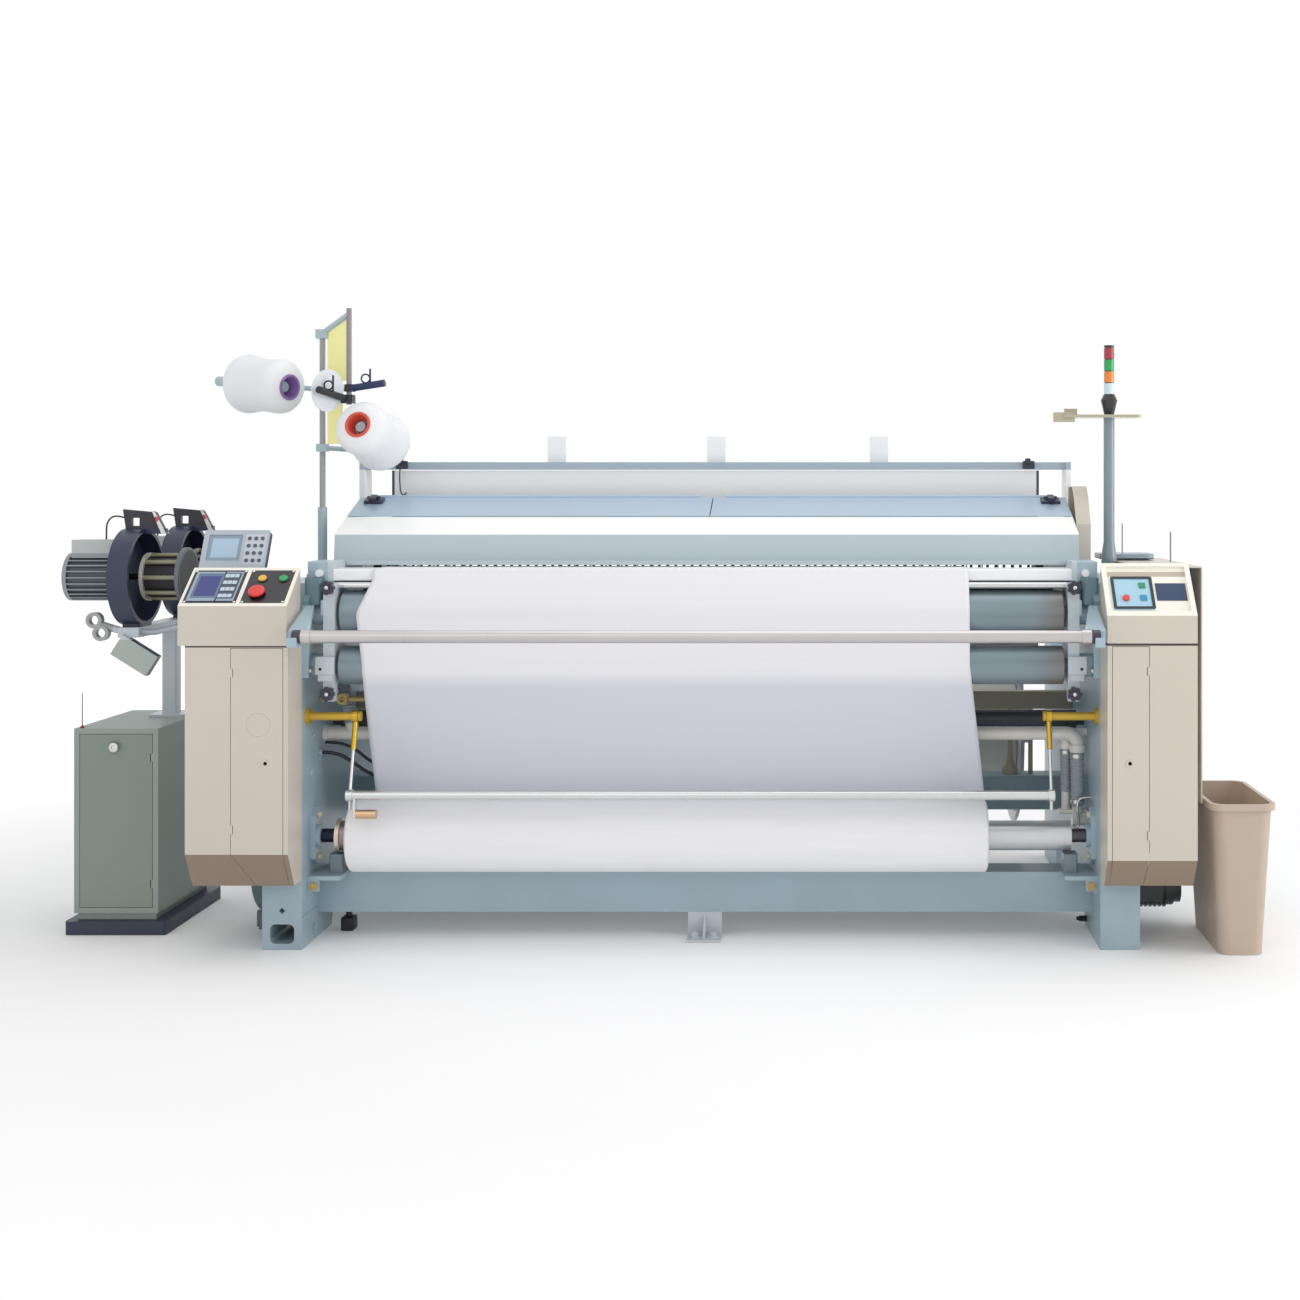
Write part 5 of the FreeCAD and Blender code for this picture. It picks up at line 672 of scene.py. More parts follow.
def wound(name, code, stretch, centre, way, turn=0.0016):
    """Yarn on a package: turns that run round an axis, with soft bands from its layers."""
    finish = Finish(name, roughness=0.75, sheen_weight=0.3, sheen_roughness=0.5)
    x, y, z = [(finish.axes[i] - centre[i]) * way[i] for i in range(3)]
    bands = finish.noise(1.0, 3, stretch=stretch)
    finish.feed("Base Color", finish.shaded(bands, code, 0.93, 1.02))
    finish.feed("Roughness", (0.7 + bands * 0.1).kept())
    finish.bump((x + y + z).ripple(turn) + bands * 3.0, 0.00012)


ALONG_X = Vector((1, 0, 0))
CONES = [(Vector((-1.294, 0.240, 1.636)), Vector((0.868, -0.488, -0.09)).normalized()),
         (Vector((-1.058, 0.150, 1.517)), Vector((-0.16, -0.95, 0.27)).normalized())]
wound("cloth_wound", "#F4F4F7", (4.0, 40.0, 40.0), (0, 0, 0), ALONG_X, turn=0.0023)
wound("warp_yarn", "#E6E4DC", (60.0, 2.0, 2.0), (0, 0, 0), ALONG_X, turn=0.004)
for number, (face, way) in enumerate(CONES, 1):
    wound(f"yarn_white_{number}", "#F2F3F6", (5.0, 5.0, 5.0), face, way)
print("with yarn:", len(finishes), "finishes")

# %% [markdown]
# ## Dressing the nodes of the frame
#
# A node keeps its mesh and takes the finish of its material slot, apart from a few pieces that
# differ from the rest of their slot and are named one by one.

# %% Finishes by slot
special = {
    "left_column_cover": "left_column_paint", "left_column_door": "left_column_paint",
    "right_column_cover": "right_column_paint", "right_column_door": "right_column_paint",
    "right_panel_housing": "panel_paint", "roller_brackets": "bracket_paint", "cross_beams": "beam_paint",
    "stop_bar": "bar_steel", "feeder_post": "feeder_post_paint", "hood_front": "hood_front_paint",
    "top_beam": "channel_paint", "heddle_frame_front": "heddle_rail_paint",
    "heddle_frame_rear": "heddle_rail_paint", "roll_supports": "support_paint",
    "right_rear_cover": "rear_cover_paint", "cloth_web": "cloth_wound", "cloth_roll": "cloth_wound",
    "yarn_cones": "yarn_white_1",
}
slot_of = {row["node"]: row["material_slot"] for row in frame["record"]["subparts"]}
body_of = {node: body for body, members in frame["record"]["behaviour"]["bodies"].items() for node in members}
for node, slot in slot_of.items():
    surface = nodes[node].data
    surface.materials.clear()
    surface.materials.append(finishes[special.get(node, slot)].material)
print("dressed", len(slot_of), "nodes")

# %% [markdown]
# ## Tools for new pieces
#
# New pieces are made from a few operators: a profile spun about a line, a cone between two points,
# and a cube with its edges bevelled. One function closes each piece: doubles are merged, normals
# turned outwards, edges under a set angle smoothed, and the piece told which body it rides on.


# %% Modelling helpers
def turned(bm, profile, start, way, steps=48):
    """A profile of (distance along, radius) spun about the line from a start in a direction."""
    start, way = Vector(start), Vector(way).normalized()
    side = way.orthogonal().normalized()
    line = [bm.verts.new(start + way * reach + side * radius) for reach, radius in profile]
    edges = [bm.edges.new(pair) for pair in zip(line, line[1:])]
    bmesh.ops.spin(bm, geom=line + edges, cent=start, axis=way, angle=math.tau, steps=steps, use_merge=True)


def bar(bm, start, end, radius, end_radius=None, sides=20):
    """A round bar or a cone between two points."""
    start, end = Vector(start), Vector(end)
    way = end - start
    matrix = Matrix.Translation((start + end) / 2) @ way.to_track_quat("Z", "Y").to_matrix().to_4x4()
    bmesh.ops.create_cone(bm, cap_ends=True, segments=sides, depth=way.length, matrix=matrix,
                          radius1=radius, radius2=radius if end_radius is None else end_radius)


def rounded(bm, edges, width, clamp=False):
    """Edges bevelled to a small radius, held back at crowded corners where clamp is set."""
    bmesh.ops.bevel(bm, geom=edges, offset=width, offset_type="OFFSET", segments=2, profile=0.5,
                    affect="EDGES", clamp_overlap=clamp, material=-1)


def slab(bm, low, high, edge=0.0, turn=None):
    """A block between two corners with its edges bevelled, set by a matrix."""
    low, high = Vector(low), Vector(high)
    matrix = Matrix.Translation((low + high) / 2) @ Matrix.Diagonal((*(high - low), 1.0))
    made = bmesh.ops.create_cube(bm, size=1, matrix=(turn or Matrix.Identity(4)) @ matrix)["verts"]
    if edge:
        rounded(bm, list({rim for vert in made for rim in vert.link_edges}), edge)


def tell(obj, body, replaced=()):
    """A new object in the scene, with its body and the nodes that it stands for."""
    bpy.context.scene.collection.objects.link(obj)
    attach(obj, body)
    if replaced:
        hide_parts(*replaced)
    return obj


def finished(name, bm, body, slot, replaced=(), finish=None, smooth=35, merge=0.00002):
    """The mesh as a piece: merged, turned outwards, smoothed, dressed and riding on its body."""
    bmesh.ops.remove_doubles(bm, verts=bm.verts, dist=merge)
    bmesh.ops.recalc_face_normals(bm, faces=bm.faces)
    mesh = bpy.data.meshes.new(name)
    bm.to_mesh(mesh)
    bm.free()
    mesh.materials.append(finishes[finish or slot].material)
    mesh.shade_smooth()
    mesh.set_sharp_from_angle(angle=math.radians(smooth))
    return tell(bpy.data.objects.new(name, mesh), body, replaced)


print("helpers are ready")

# %% [markdown]
# ## Softened edges
#
# A drawing has knife edges; real sheet and castings have a small radius that catches the light and
# draws a bright line along every fold. A copy of a node's mesh is merged, its flat faces are
# joined, and every sharp edge is bevelled. The copy then stands for the node.


# %% Bevelled copies of rigid nodes
def merged(node):
    """A copy of a node's mesh with its triangles joined at their corners."""
    bm = bmesh.new()
    bm.from_mesh(nodes[node].data)
    bmesh.ops.remove_doubles(bm, verts=bm.verts, dist=0.00002)
    return bm


def dressed(node, width):
    """A copy of a node with its sharp edges rounded."""
    bm = merged(node)
    bmesh.ops.dissolve_limit(bm, angle_limit=math.radians(0.5), verts=bm.verts, edges=bm.edges)
    rounded(bm, [edge for edge in bm.edges if len(edge.link_faces) == 2
                 and edge.calc_face_angle(0.0) > math.radians(30)], width, clamp=True)
    bmesh.ops.triangulate(bm, faces=[face for face in bm.faces if len(face.verts) > 4])
    slot = slot_of[node]
    piece = finished(node + "_dressed", bm, body_of[node], slot, [node], special.get(node, slot), smooth=50)
    even = piece.modifiers.new("even_shading", "WEIGHTED_NORMAL")
    even.keep_sharp = True
    even.weight = 80
    return piece


SOFT_EDGES = {
    "left_column_cover": 0.0015, "left_column_door": 0.0015, "right_column_cover": 0.0015,
    "right_column_door": 0.0015, "control_box": 0.0015, "control_box_door": 0.0012, "hood_front": 0.0012,
    "left_hood_lid": 0.001, "right_hood_lid": 0.001, "right_rear_cover": 0.0015, "hood_end_cover": 0.0015,
    "top_beam": 0.0012, "cross_beams": 0.002, "centre_floor_bracket": 0.001,
}
for node, width in SOFT_EDGES.items():
    piece = dressed(node, width)
    print(piece.name, len(piece.data.polygons), "faces")

# %% [markdown]
# ## The web of cloth
#
# Woven cloth leaves the fell, folds over the nose of the breast plate, runs down behind the front
# of both rollers and reaches the roll. Its line in side view is a chain of tangents and arcs, the
# way a belt runs round pulleys.

# %% The cloth's line
BREAST_TOP, NOSE = 1.090, 0.005
CIRCLES = [(-0.055, BREAST_TOP - NOSE, NOSE, 1), (-0.040, 0.963, 0.065, 1), (-0.060, 0.812, 0.056, 1),
           (0.0, 0.305, 0.105, -1)]
CLOTH_STAND = 0.0009        # the cloth's middle surface over what it lies on


def cloth_line(start_y, step):
    """The line over the bars and rollers, as points no further apart than a step."""
    sizes = [size + CLOTH_STAND for _, _, size, _ in CIRCLES]
    headings = [math.pi]
    for index in range(len(CIRCLES) - 1):
        (y0, z0, _, side0), (y1, z1, _, side1) = CIRCLES[index], CIRCLES[index + 1]
        lean = math.asin((side1 * sizes[index + 1] - side0 * sizes[index]) / math.hypot(y1 - y0, z1 - z0))
        headings.append(math.atan2(z1 - z0, y1 - y0) % math.tau - lean)
    headings.append(headings[-1] - math.radians(12))
    line = [Vector((start_y, BREAST_TOP + CLOTH_STAND))]
    for index, (y, z, _, side) in enumerate(CIRCLES):
        first, last = headings[index], headings[index + 1]
        turns = max(3, int(abs(last - first) / math.radians(7)))
        for turn in range(turns + 1):
            heading = first + (last - first) * turn / turns
            reach = side * sizes[index]
            there = Vector((y + reach * math.sin(heading), z - reach * math.cos(heading)))
            count = max(1, math.ceil((there - line[-1]).length / step))
            line += [line[-1].lerp(there, share / count) for share in range(1, count)] + [there]
    return line


line = cloth_line(0.128, 0.016)
travelled = [0.0]
for here, there in zip(line, line[1:]):
    travelled.append(travelled[-1] + (there - here).length)
print("the cloth's line is", round(travelled[-1], 3), "m long in", len(line), "points")

# %% [markdown]
# A grid is made flat, one step per station of that line, and each of its vertices is moved to its
# place. Between the rollers and the roll a little slackness lets long, shallow waves form.

# %% The web
LEFT_EDGE = [(1.056, -0.957), (0.963, -0.995), (0.812, -0.974), (0.410, -0.981)]
RIGHT_EDGE = [(1.056, 0.772), (0.812, 0.772), (0.410, 0.830)]
ACROSS = 150


def between(value, table):
    """A value read off a table of (key, value) rows, with straight lines between the rows."""
    for (key0, value0), (key1, value1) in zip(table, table[1:]):
        if key1 <= value <= key0:
            return value1 + (value0 - value1) * (value - key1) / (key0 - key1)
    return table[0][1] if value > table[0][0] else table[-1][1]


def cloth_web():
    """The grid of cloth, moved to its line, with waves in its free stretch."""
    bm = bmesh.new()
    last = len(line) - 1
    bmesh.ops.create_grid(bm, x_segments=ACROSS, y_segments=last, size=1.0)
    cut = bm.loops.layers.uv.new("cut")
    places = {}
    for vert in bm.verts:
        share = (vert.co.x + 1) / 2
        station = round((vert.co.y + 1) / 2 * last)
        y, z = line[station]
        left, right = between(z, LEFT_EDGE), between(z, RIGHT_EDGE)
        x = left + (right - left) * share
        free = max(0.0, min((0.790 - z) / 0.10, (z - 0.425) / 0.12, 1.0))
        wave = noise.noise((x * 2.6, z * 0.9, 0.3)) + 0.4 * noise.noise((x * 9.0, z * 1.6, 4.1))
        edge = max(0.0, 1 - min(share, 1 - share) * 40)
        places[vert] = (x, travelled[station])
        vert.co = (x, y - free * (0.0035 * wave + 0.003 * edge), z)
    for face in bm.faces:
        for loop in face.loops:
            loop[cut].uv = places[loop.vert]
    return bm


off_roller, on_roll = [next(far for far, (y, z) in zip(travelled, line) if z < height)
                       for height in (0.800, 0.405)]
# the last tuple marks the free stretch of cloth that takes painted shade
woven("cloth", "#F1F1F5", "cut", (off_roller, on_roll, 0.05))
sheet_mesh = cloth_web()
cloth_area = sum(face.calc_area() for face in sheet_mesh.faces)
web = finished("cloth_web_sheet", sheet_mesh, "machine", "cloth", ["cloth_web"], smooth=80, merge=0.0)
thickness = web.modifiers.new("thickness", "SOLIDIFY")
thickness.thickness = 0.0008
thickness.offset = 0.0
print("cloth web:", round(cloth_area, 3), "square metres")

# %% [markdown]
# ## The cloth roll and the warp
#
# A roll of cloth is turns of one sheet, and its ends are never quite flat: each turn lies a little
# in or out. The profile steps in and out by a few tenths of a millimetre up to the outermost turns
# and is rounded at the rim. The warp beam is wound harder and squarer, between its two flanges.


# %% Wound cloth and warp
def wound_end(out, inner, radius, sign, steps, depth):
    """A package's end, from its bore to its rim, as (distance along, radius)."""
    rows = []
    for step in range(steps + 1):
        share = step / steps
        ragged = noise.noise((share * 31.0, 2.7 * sign, 0.5)) * depth
        sink = depth * 1.6 * max(0.0, share - 0.86) / 0.14
        rows.append((sign * (out - abs(ragged) - sink), inner + (radius - inner) * share))
    return rows


def package(name, ends, radii, height, depth, turns, body, slot, replaced, finish, steps=26):
    """A wound package along X, spun from the closed profile of its two ends and its middle."""
    (left, right), (y, z) = ends, height
    left_end = wound_end(-left, *radii, -1, steps, depth)
    right_end = wound_end(right, *radii, 1, steps, depth)
    middle = [(left + (right - left) * share, radii[1])
              for share in (0.004, 0.02, 0.1, 0.25, 0.5, 0.75, 0.9, 0.98, 0.996)]
    bm = bmesh.new()
    turned(bm, left_end + middle + right_end[::-1] + [left_end[0]], (0, y, z), ALONG_X, steps=turns)
    finished(name, bm, body, slot, [replaced], finish, smooth=50)


package("cloth_roll_wound", (-1.035, 0.830), (0.0432, 0.1049), (0.0, 0.305), 0.004, 96,
        "cloth_beam", "cloth", "cloth_roll", "cloth_wound")
package("warp_wound", (-0.9978, 0.9978), (0.0805, 0.2400), (0.950, 0.520), 0.001, 128,
        "warp", "warp_yarn", "warp_beam", "warp_yarn", steps=8)
bm = merged("warp_beam")
yarn_faces = [face for face in bm.faces if abs(face.calc_center_median().x) < 0.9975]
bmesh.ops.delete(bm, geom=yarn_faces, context="FACES")
finished("warp_flanges", bm, "warp", "warp_yarn", ["warp_beam"], "post_paint")
print("cloth roll and warp beam are wound")

# %% [markdown]
# ## The two cones
#
# A cone of yarn is wound on a tapered tube whose coloured rim shows in its face. The package is a
# little waisted, and its shoulders are rounded by the yarn's own springiness. Each is one profile
# spun about its own spindle.

# %% Cones and their tubes
CONE_LONG, NOSE_R, BASE_R = 0.215, 0.084, 0.092
TUBE_RIM, TUBE_MOUTH, TUBE_BORE = 0.040, 0.031, 0.0165
YARN_PROFILE = [
    (0.001, TUBE_RIM - 0.001), (-0.001, 0.052), (-0.006, 0.066), (-0.014, 0.076), (-0.024, 0.0815),
    (-0.036, NOSE_R), (-0.055, 0.0832), (-0.075, 0.0818), (-0.095, 0.0812), (-0.115, 0.0822),
    (-0.135, 0.0848), (-0.152, 0.0885), (-0.165, 0.0912), (-0.174, BASE_R), (-0.184, 0.0905),
    (-0.195, 0.086), (-0.204, 0.0775), (-0.211, 0.062), (-CONE_LONG, 0.030), (-CONE_LONG, TUBE_BORE),
    (-0.052, TUBE_BORE), (0.001, TUBE_RIM - 0.001)]
TUBE_PROFILE = [
    (-0.050, TUBE_BORE), (-0.044, 0.022), (0.0005, TUBE_MOUTH), (0.0048, TUBE_MOUTH + 0.001),
    (0.006, TUBE_MOUTH + 0.003), (0.006, TUBE_RIM - 0.003), (0.0045, TUBE_RIM), (0.0, TUBE_RIM),
    (-0.006, TUBE_RIM - 0.004), (-0.052, TUBE_BORE + 0.001), (-0.050, TUBE_BORE)]
for number, ((face, way), tube) in enumerate(zip(CONES, ("tube_purple", "tube_red")), 1):
    for kind, profile, finish, steps, smooth in (("yarn", YARN_PROFILE, f"yarn_white_{number}", 72, 50),
                                                 ("tube", TUBE_PROFILE, tube, 48, 40)):
        bm = bmesh.new()
        turned(bm, profile, face, way, steps)
        finished(f"cone_{kind}_{number}", bm, "machine", "yarn_white", ["yarn_cones"], finish, smooth)
print("two cones are wound")

# %% [markdown]
# ## Ribbed hoses and leads
#
# A suction hose is a tube with a spiral rib that keeps it round. Its ribs are close enough to be
# drawn as rings: one wavy profile, spun about the hose's own line. A lead is a smooth curve
# through a few points, with its own weight in its bend, and it stays a curve, so that its length
# can be told.

# %% Hoses
HOSE_R, HOSE_PITCH = 0.021, 0.009


def hose(name, start, end, radius=HOSE_R, replaced=()):
    """A straight stretch of ribbed hose with a bore."""
    start, end = Vector(start), Vector(end)
    long = (end - start).length
    count = int(long / HOSE_PITCH)
    pitch, bore = long / count, radius - 0.006
    wave = [(share * pitch / 6, radius - 0.0016 - 0.0016 * math.cos(share * math.tau / 6))
            for share in range(count * 6 + 1)]
    bm = bmesh.new()
    turned(bm, [(0.0, bore)] + wave + [(long, bore), (0.0, bore)], start, end - start, steps=40)
    finished(name, bm, "machine", "hose_plastic", replaced, smooth=60)


PIPE_TAP, LEFT_PORT, TAP_REACH = Vector((-1.060, 0.110, 0.590)), Vector((-1.092, 0.110, 0.748)), 0.034
tap_end = PIPE_TAP + (LEFT_PORT - PIPE_TAP).normalized() * TAP_REACH
hose("right_hose", (1.112, 0.110, 0.534), (1.112, 0.110, 0.372), replaced=["ribbed_hoses"])
hose("left_hose", LEFT_PORT, tap_end, replaced=["ribbed_hoses"])
print("hoses are ribbed")

# %% [markdown]
# The same smooth curve serves the leads and, further down, bent wire. The first lead runs from the
# left frame to the floor beam, thick as a finger.


# %% Cords
def strand(name, points, radius, rounds, soft=12):
    """A round curve that follows a smooth line along the points given."""
    curve = bpy.data.curves.new(name, "CURVE")
    curve.dimensions = "3D"
    curve.bevel_depth = radius
    curve.bevel_resolution = rounds
    curve.use_fill_caps = True
    run = curve.splines.new("NURBS")
    run.points.add(len(points) - 1)
    for point, place in zip(run.points, points):
        point.co = (*place, 1.0)
    run.order_u = 3
    run.use_endpoint_u = True
    run.resolution_u = soft
    return bpy.data.objects.new(name, curve)


def cord(name, points, diameter, rounds=5, replaced=()):
    """A cord on a smooth line, with both of its ends in the machine."""
    obj = strand(name, points, diameter / 2, rounds)
    obj.data.materials.append(finishes["lead_rubber"].material)
    tell(obj, "machine", replaced)


cord("black_lead_cord",
     [(-1.138, 0.060, 0.540), (-1.096, 0.060, 0.540), (-1.056, 0.072, 0.512), (-1.012, 0.088, 0.474),
      (-0.950, 0.104, 0.446), (-0.893, 0.120, 0.410), (-0.856, 0.130, 0.358), (-0.841, 0.135, 0.306),
      (-0.838, 0.138, 0.252), (-0.838, 0.138, 0.198)], 0.011, 6, ["black_lead"])
print("the black lead is hung")

# %% [markdown]
# ## Screws
#
# A machine is held together by screws, and the eye misses them when they aren't there. Each is a
# short cone with a domed top, set on the face that it holds.


# %% Screws
def screw(bm, place, way, radius=0.004, tall=0.0022):
    """A domed screw head on a face."""
    turned(bm, [(0.0, radius), (tall * 0.5, radius), (tall * 0.85, radius * 0.75), (tall, radius * 0.35),
                (tall, 0.0)], place, way, steps=16)


desk_lean = Matrix.Rotation(math.radians(DESK_SLOPE), 4, "X")
desk_plate = Matrix.Translation((0, COVER_FRONT, DESK_LIP)) @ desk_lean
desk_up = desk_plate.to_3x3() @ Vector((0, 0, 1))
bm = bmesh.new()
for x in (-1.441, -1.301, -1.279, -1.165):
    for along in (0.0165, 0.148):
        screw(bm, desk_plate @ Vector((x, along, 0.0)), desk_up)
finished("desk_screws", bm, "machine", "bright_steel")

bm = bmesh.new()
for side in (-1, 1):
    for y, z in ((-0.108, 0.800), (-0.108, 0.960), (0.030, 0.800)):
        bar(bm, (side * 1.127, y, z), (side * 1.1222, y, z), 0.009, sides=6)
        screw(bm, (side * 1.1222, y, z), (-side, 0, 0), radius=0.005, tall=0.003)
finished("bracket_bolts", bm, "machine", "bright_steel")

KNOB_X, KNOB_FACE = 1.071, -0.138
for level, z in (("upper", 1.040), ("lower", 0.735)):
    for side, x in (("left", -KNOB_X), ("right", KNOB_X)):
        bm = bmesh.new()
        screw(bm, (x, KNOB_FACE + 0.0004, z), (0, -1, 0), radius=0.0055, tall=0.003)
        finished(f"{level}_{side}_knob_screw", bm, f"knob_{level}_{side}", "bright_steel")
print("screws are in")

# %% [markdown]
# ## Latches, clips and bent wire
#
# The hood's rear corners have dark latches that swing with their lids, the white board has a dark
# clip at each end, and a hooked wire hangs at its left. A bent wire is the curve from above,
# turned into a mesh so that it stays rigid.


# %% Latches, clips and wire
def bent(bm, points, radius):
    """A rigid round wire along the points given."""
    holder = strand("bent_wire", points, radius, rounds=3, soft=8)
    curve, tube = holder.data, bpy.data.meshes.new_from_object(holder)
    bm.from_mesh(tube)
    bpy.data.objects.remove(holder)
    bpy.data.curves.remove(curve)
    bpy.data.meshes.remove(tube)


LID_SLOPE = math.atan2(1.295 - 1.237, 0.400 - 0.240)
for side, body in ((-1, "lid_left"), (1, "lid_right")):
    lid_top = Matrix.Translation((side * 1.062, 0.350, 1.2798)) @ Matrix.Rotation(LID_SLOPE, 4, "X")
    bm = bmesh.new()
    slab(bm, (-0.030, -0.012, 0.0), (0.030, 0.026, 0.010), edge=0.003, turn=lid_top)
    slab(bm, (-0.011, -0.020, 0.008), (0.011, 0.014, 0.024), edge=0.004, turn=lid_top)
    bar(bm, lid_top @ Vector((-0.020, 0.006, 0.016)), lid_top @ Vector((0.020, 0.006, 0.016)), 0.0045)
    finished(body + "_latch", bm, body, "knob_plastic")

bm = bmesh.new()
for x in (-1.010, 1.010):
    slab(bm, (x - 0.019, 0.489, 1.388), (x + 0.019, 0.501, 1.414), edge=0.003)
    slab(bm, (x - 0.012, 0.485, 1.402), (x + 0.006, 0.495, 1.422), edge=0.003)
bent(bm, [(-1.014, 0.490, 1.392), (-1.016, 0.488, 1.370), (-1.014, 0.487, 1.335), (-1.012, 0.487, 1.312),
          (-1.002, 0.487, 1.300), (-0.993, 0.487, 1.312)], 0.0022)
finished("board_clips", bm, "machine", "knob_plastic")
print("latches, clips and hooked wire are on")

# %% [markdown]
# ## Behind the cloth
#
# The gap beside the roll shows what lies behind the cloth: an olive rail between the frames with
# two posts and a thin rod, a second ribbed hose under the white pipe, and a chrome hook.

# %% Rail, posts and second hose
FRAME_INNER = 1.1458
HOSE_TOP = Vector((1.112, 0.110, 0.0))
SECOND_TOP = Vector((1.0805, 0.136, 0.0))


def upright(bm, foot, low, high, radius, sides):
    """A round bar that stands on end at a place in plan."""
    bar(bm, foot + Vector((0, 0, high)), foot + Vector((0, 0, low)), radius, sides=sides)


bm = bmesh.new()
slab(bm, (-FRAME_INNER, 0.462, 0.618), (FRAME_INNER, 0.502, 0.676), edge=0.004)
bar(bm, (-FRAME_INNER, 0.448, 0.590), (FRAME_INNER, 0.448, 0.590), 0.006)
for x in (0.9486, 1.0144):
    slab(bm, (x - 0.007, 0.474, 0.410), (x + 0.007, 0.490, 0.620), edge=0.002)
    slab(bm, (x - 0.010, 0.440, 0.582), (x + 0.010, 0.480, 0.598), edge=0.003)
turned(bm, [(0.0, 0.0), (0.0, 0.026), (0.012, 0.026), (0.034, 0.014), (0.048, 0.010), (0.070, 0.009),
            (0.070, 0.0)], (0.9486, 0.482, 0.410), (0, 0, 1), steps=24)
finished("harness_rail", bm, "machine", "guard_paint", finish="harness_paint")

hose("second_hose", SECOND_TOP + Vector((0, 0, 0.548)), SECOND_TOP + Vector((0, 0, 0.412)), radius=0.0165)
bm = bmesh.new()
upright(bm, SECOND_TOP, 0.540, 0.560, 0.0185, 32)
bar(bm, SECOND_TOP + Vector((0, 0, 0.556)), (1.070, 0.116, 0.582), 0.015, 0.012, sides=32)
upright(bm, SECOND_TOP, 0.352, 0.420, 0.0125, 32)
slab(bm, SECOND_TOP + Vector((-0.022, -0.018, 0.346)), (FRAME_INNER, SECOND_TOP.y + 0.018, 0.358), edge=0.002)
finished("second_hose_ends", bm, "machine", "pipe_plastic")

bm = bmesh.new()
for foot, low, high, radius in ((HOSE_TOP, 0.517, 0.528, 0.0218), (HOSE_TOP, 0.381, 0.392, 0.0218),
                                (SECOND_TOP, 0.526, 0.536, 0.0174)):
    upright(bm, foot, low, high, radius, 40)
bent(bm, [(FRAME_INNER, 0.078, 0.402), (1.130, 0.078, 0.402), (1.112, 0.078, 0.398), (1.106, 0.077, 0.372),
          (1.111, 0.076, 0.345), (1.113, 0.074, 0.322), (1.104, 0.073, 0.312), (1.094, 0.073, 0.322)], 0.0042)
finished("hose_clips_and_hook", bm, "machine", "bright_steel")
print("the gap beside the roll is filled")

# %% [markdown]
# On the left a brass rod ends in an eye. Small blocks with a screw are fixed low on both roller
# arms, a levelling bolt and a rubber block sit at the feet, and bosses mark the left foot.

# %% Brass rod, arm blocks and bolts
bm = bmesh.new()
bar(bm, (-FRAME_INNER, 0.060, 0.699), (-0.930, 0.060, 0.699), 0.0085)
turned(bm, [(-0.012, 0.008), (-0.012, 0.016), (-0.010, 0.0175), (0.010, 0.0175), (0.012, 0.016),
            (0.012, 0.008), (-0.012, 0.008)], (-1.078, 0.060, 0.699), (0, 1, 0), steps=32)
finished("brass_rod", bm, "machine", "yellow_paint", finish="brass")

bm = bmesh.new()
heads = bmesh.new()
for side in (-1, 1):
    left, right = sorted((side * 1.053, side * 1.107))
    slab(bm, (left, -0.126, 0.790), (right, -0.1115, 0.842), edge=0.003)
    slab(bm, (left + 0.006, -0.120, 0.770), (right - 0.006, -0.1115, 0.790), edge=0.002)
    screw(heads, (side * 1.092, -0.1255, 0.806), (0, -1, 0), radius=0.0045)
finished("arm_blocks", bm, "machine", "post_paint")
bar(heads, (FRAME_INNER, 0.150, 0.024), (1.124, 0.150, 0.024), 0.009, sides=6)
bar(heads, (1.126, 0.150, 0.024), (1.116, 0.150, 0.024), 0.006)
slab(heads, (-1.094, 0.090, 0.0006), (-1.056, 0.140, 0.040), edge=0.004)
bar(heads, (-1.075, 0.115, 0.039), (-1.075, 0.115, 0.0719), 0.009)
finished("dark_bolts", heads, "machine", "lead_rubber", finish="rubber")

bm = bmesh.new()
for y, z, radius in ((-0.012, 0.599, 0.008), (0.050, 0.525, 0.008), (-0.031, 0.496, 0.010),
                     (0.000, 0.034, 0.012)):
    turned(bm, [(0.0, radius), (0.003, radius), (0.004, radius * 0.8), (0.0025, radius * 0.55),
                (0.0025, 0.0)], (-FRAME_INNER, y, z), ALONG_X, steps=24)
slab(bm, (-FRAME_INNER, -0.108, 0.088), (-1.1435, 0.178, 0.0925), edge=0.0008)
finished("left_frame_bosses", bm, "machine", "frame_paint")
print("small castings are in place")

# %% [markdown]
# The control box has a lock in its door and a red wire on its top. A short lead arches over each
# feeder's motor, and a second lead runs down behind the cloth beside the first.

# %% Lock, wire and leads
door_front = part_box("control_box_door")[0].y
bm = bmesh.new()
turned(bm, [(0.0, 0.014), (0.003, 0.014), (0.0045, 0.012), (0.0045, 0.007), (0.002, 0.006), (0.002, 0.0)],
       (-1.758, door_front + 0.0002, 0.555), (0, -1, 0), steps=32)
finished("box_lock", bm, "door_box", "bright_steel")

WIRE_FOOT = (-1.861, 0.078, 0.6098)
bm = bmesh.new()
bar(bm, WIRE_FOOT, (*WIRE_FOOT[:2], 0.715), 0.0016, 0.0012, sides=10)
turned(bm, [(0.0, 0.006), (0.004, 0.006), (0.006, 0.003), (0.010, 0.002), (0.010, 0.0)], WIRE_FOOT,
       (0, 0, 1), steps=20)
finished("box_top_wire", bm, "machine", "lead_rubber", finish="wire_red")

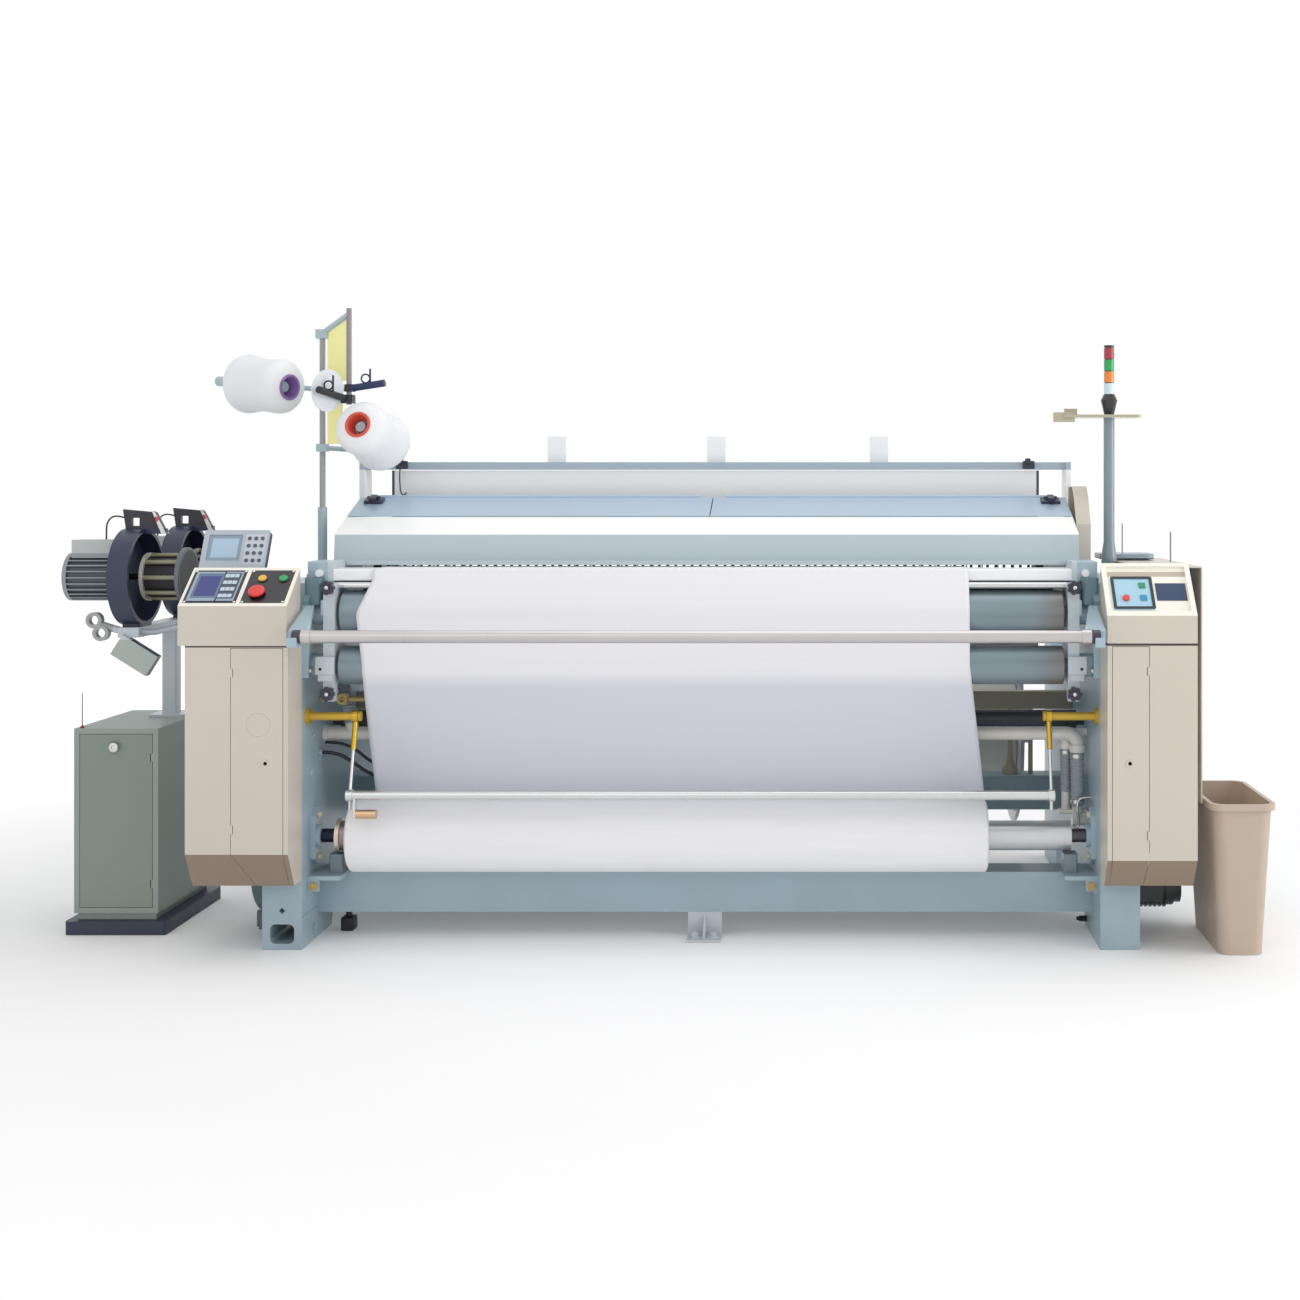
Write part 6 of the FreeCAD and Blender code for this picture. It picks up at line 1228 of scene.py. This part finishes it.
for number, y in enumerate(FEEDER_YS, 1):
    cord(f"feeder_lead_{number}",
         [(-1.754, y, 1.236), (-1.772, y, 1.242), (-1.796, y + 0.004, 1.240), (-1.813, y + 0.008, 1.220),
          (-1.814, y + 0.008, 1.194), (-1.814, y + 0.008, 1.170)], 0.005)
cord("second_lead",
     [(-1.138, 0.088, 0.566), (-1.098, 0.088, 0.566), (-1.052, 0.092, 0.548), (-1.008, 0.100, 0.506),
      (-0.950, 0.120, 0.478), (-0.886, 0.136, 0.452), (-0.836, 0.142, 0.400), (-0.812, 0.145, 0.330),
      (-0.808, 0.146, 0.262), (-0.808, 0.146, 0.192)], 0.009)
print("lock, wire and leads are fitted")

# %% [markdown]
# ## Floor, light and background
#
# The picture is a studio cut-out on white. Wide, soft lamps give the even light, and the white
# background is seen only by the camera and by reflections, so it adds no light of its own. The
# floor is pale, keeps the loom's soft shadow and turns white far from it.

# %% Floor
floor_finish = Finish("floor", roughness=0.9, emission_strength=1.0)
across, away = floor_finish.axes[:2]
far_off = ((floor_finish.around(across * 0.8, away, 0.0, 0.4) - 1.9) / 1.6).kept()
near_colour = floor_finish.mix(floor_finish.noise(0.6, 2), [0.93, 0.93, 0.94, 1], [0.95, 0.95, 0.95, 1])
floor_finish.feed("Base Color", floor_finish.mix(far_off, near_colour, [0.0, 0.0, 0.0, 1]))
floor_finish.feed("Emission Color", floor_finish.mix(far_off, [0.06, 0.06, 0.06, 1], [1.0, 1.0, 1.0, 1]))
floor_mesh = bmesh.new()
bmesh.ops.create_grid(floor_mesh, x_segments=2, y_segments=2, size=30)
floor_data = bpy.data.meshes.new("floor")
floor_mesh.to_mesh(floor_data)
floor_mesh.free()
floor_data.materials.append(floor_finish.material)
floor = bpy.data.objects.new("floor", floor_data)
floor.location = (0, 0, -0.0006)
bpy.context.scene.collection.objects.link(floor)
print("the floor is laid")

# %% [markdown]
# The world is white to the camera and to reflections, and a softer grey light to everything else.

# %% World and lamps
world = bpy.data.worlds.new("studio")
bpy.context.scene.world = world
world.use_nodes = True
sky = world.node_tree
sky.nodes.clear()


def sky_node(kind, *inputs, **settings):
    """A node of the world, with its inputs in order, as values or as sockets to link."""
    node = sky.nodes.new("ShaderNode" + kind)
    for key, value in settings.items():
        setattr(node, key, value)
    for socket, value in zip(node.inputs, inputs):
        if isinstance(value, bpy.types.NodeSocket):
            sky.links.new(value, socket)
        else:
            socket.default_value = value
    return node.outputs


WHITE, SOFT_LIGHT = (1, 1, 1, 1), 0.73
rays = sky_node("LightPath")
seen = sky_node("Math", rays["Is Camera Ray"], rays["Is Glossy Ray"], operation="MAXIMUM")
seen = sky_node("Math", seen[0], rays["Is Transmission Ray"], operation="MAXIMUM")
soft, white = sky_node("Background", WHITE, SOFT_LIGHT), sky_node("Background", WHITE, 1.0)
sky_node("OutputWorld", sky_node("MixShader", seen[0], soft[0], white[0])[0])


LOOM_MIDDLE = Vector((0.0, 0.2, 0.9))


def lamp(name, place, size, watts):
    """A square soft box turned towards the loom's middle."""
    data = bpy.data.lights.new(name, "AREA")
    data.size = size
    data.energy = watts
    obj = bpy.data.objects.new(name, data)
    obj.location = place
    obj.rotation_euler = (LOOM_MIDDLE - Vector(place)).to_track_quat("-Z", "Y").to_euler()
    bpy.context.scene.collection.objects.link(obj)


lamp("key", (-1.6, -5.0, 4.2), 3.6, 22)
lamp("fill", (5.8, -1.5, 2.4), 3.6, 110)
lamp("top", (0.4, 0.6, 5.4), 4.0, 54)
print("world and lamps are set")
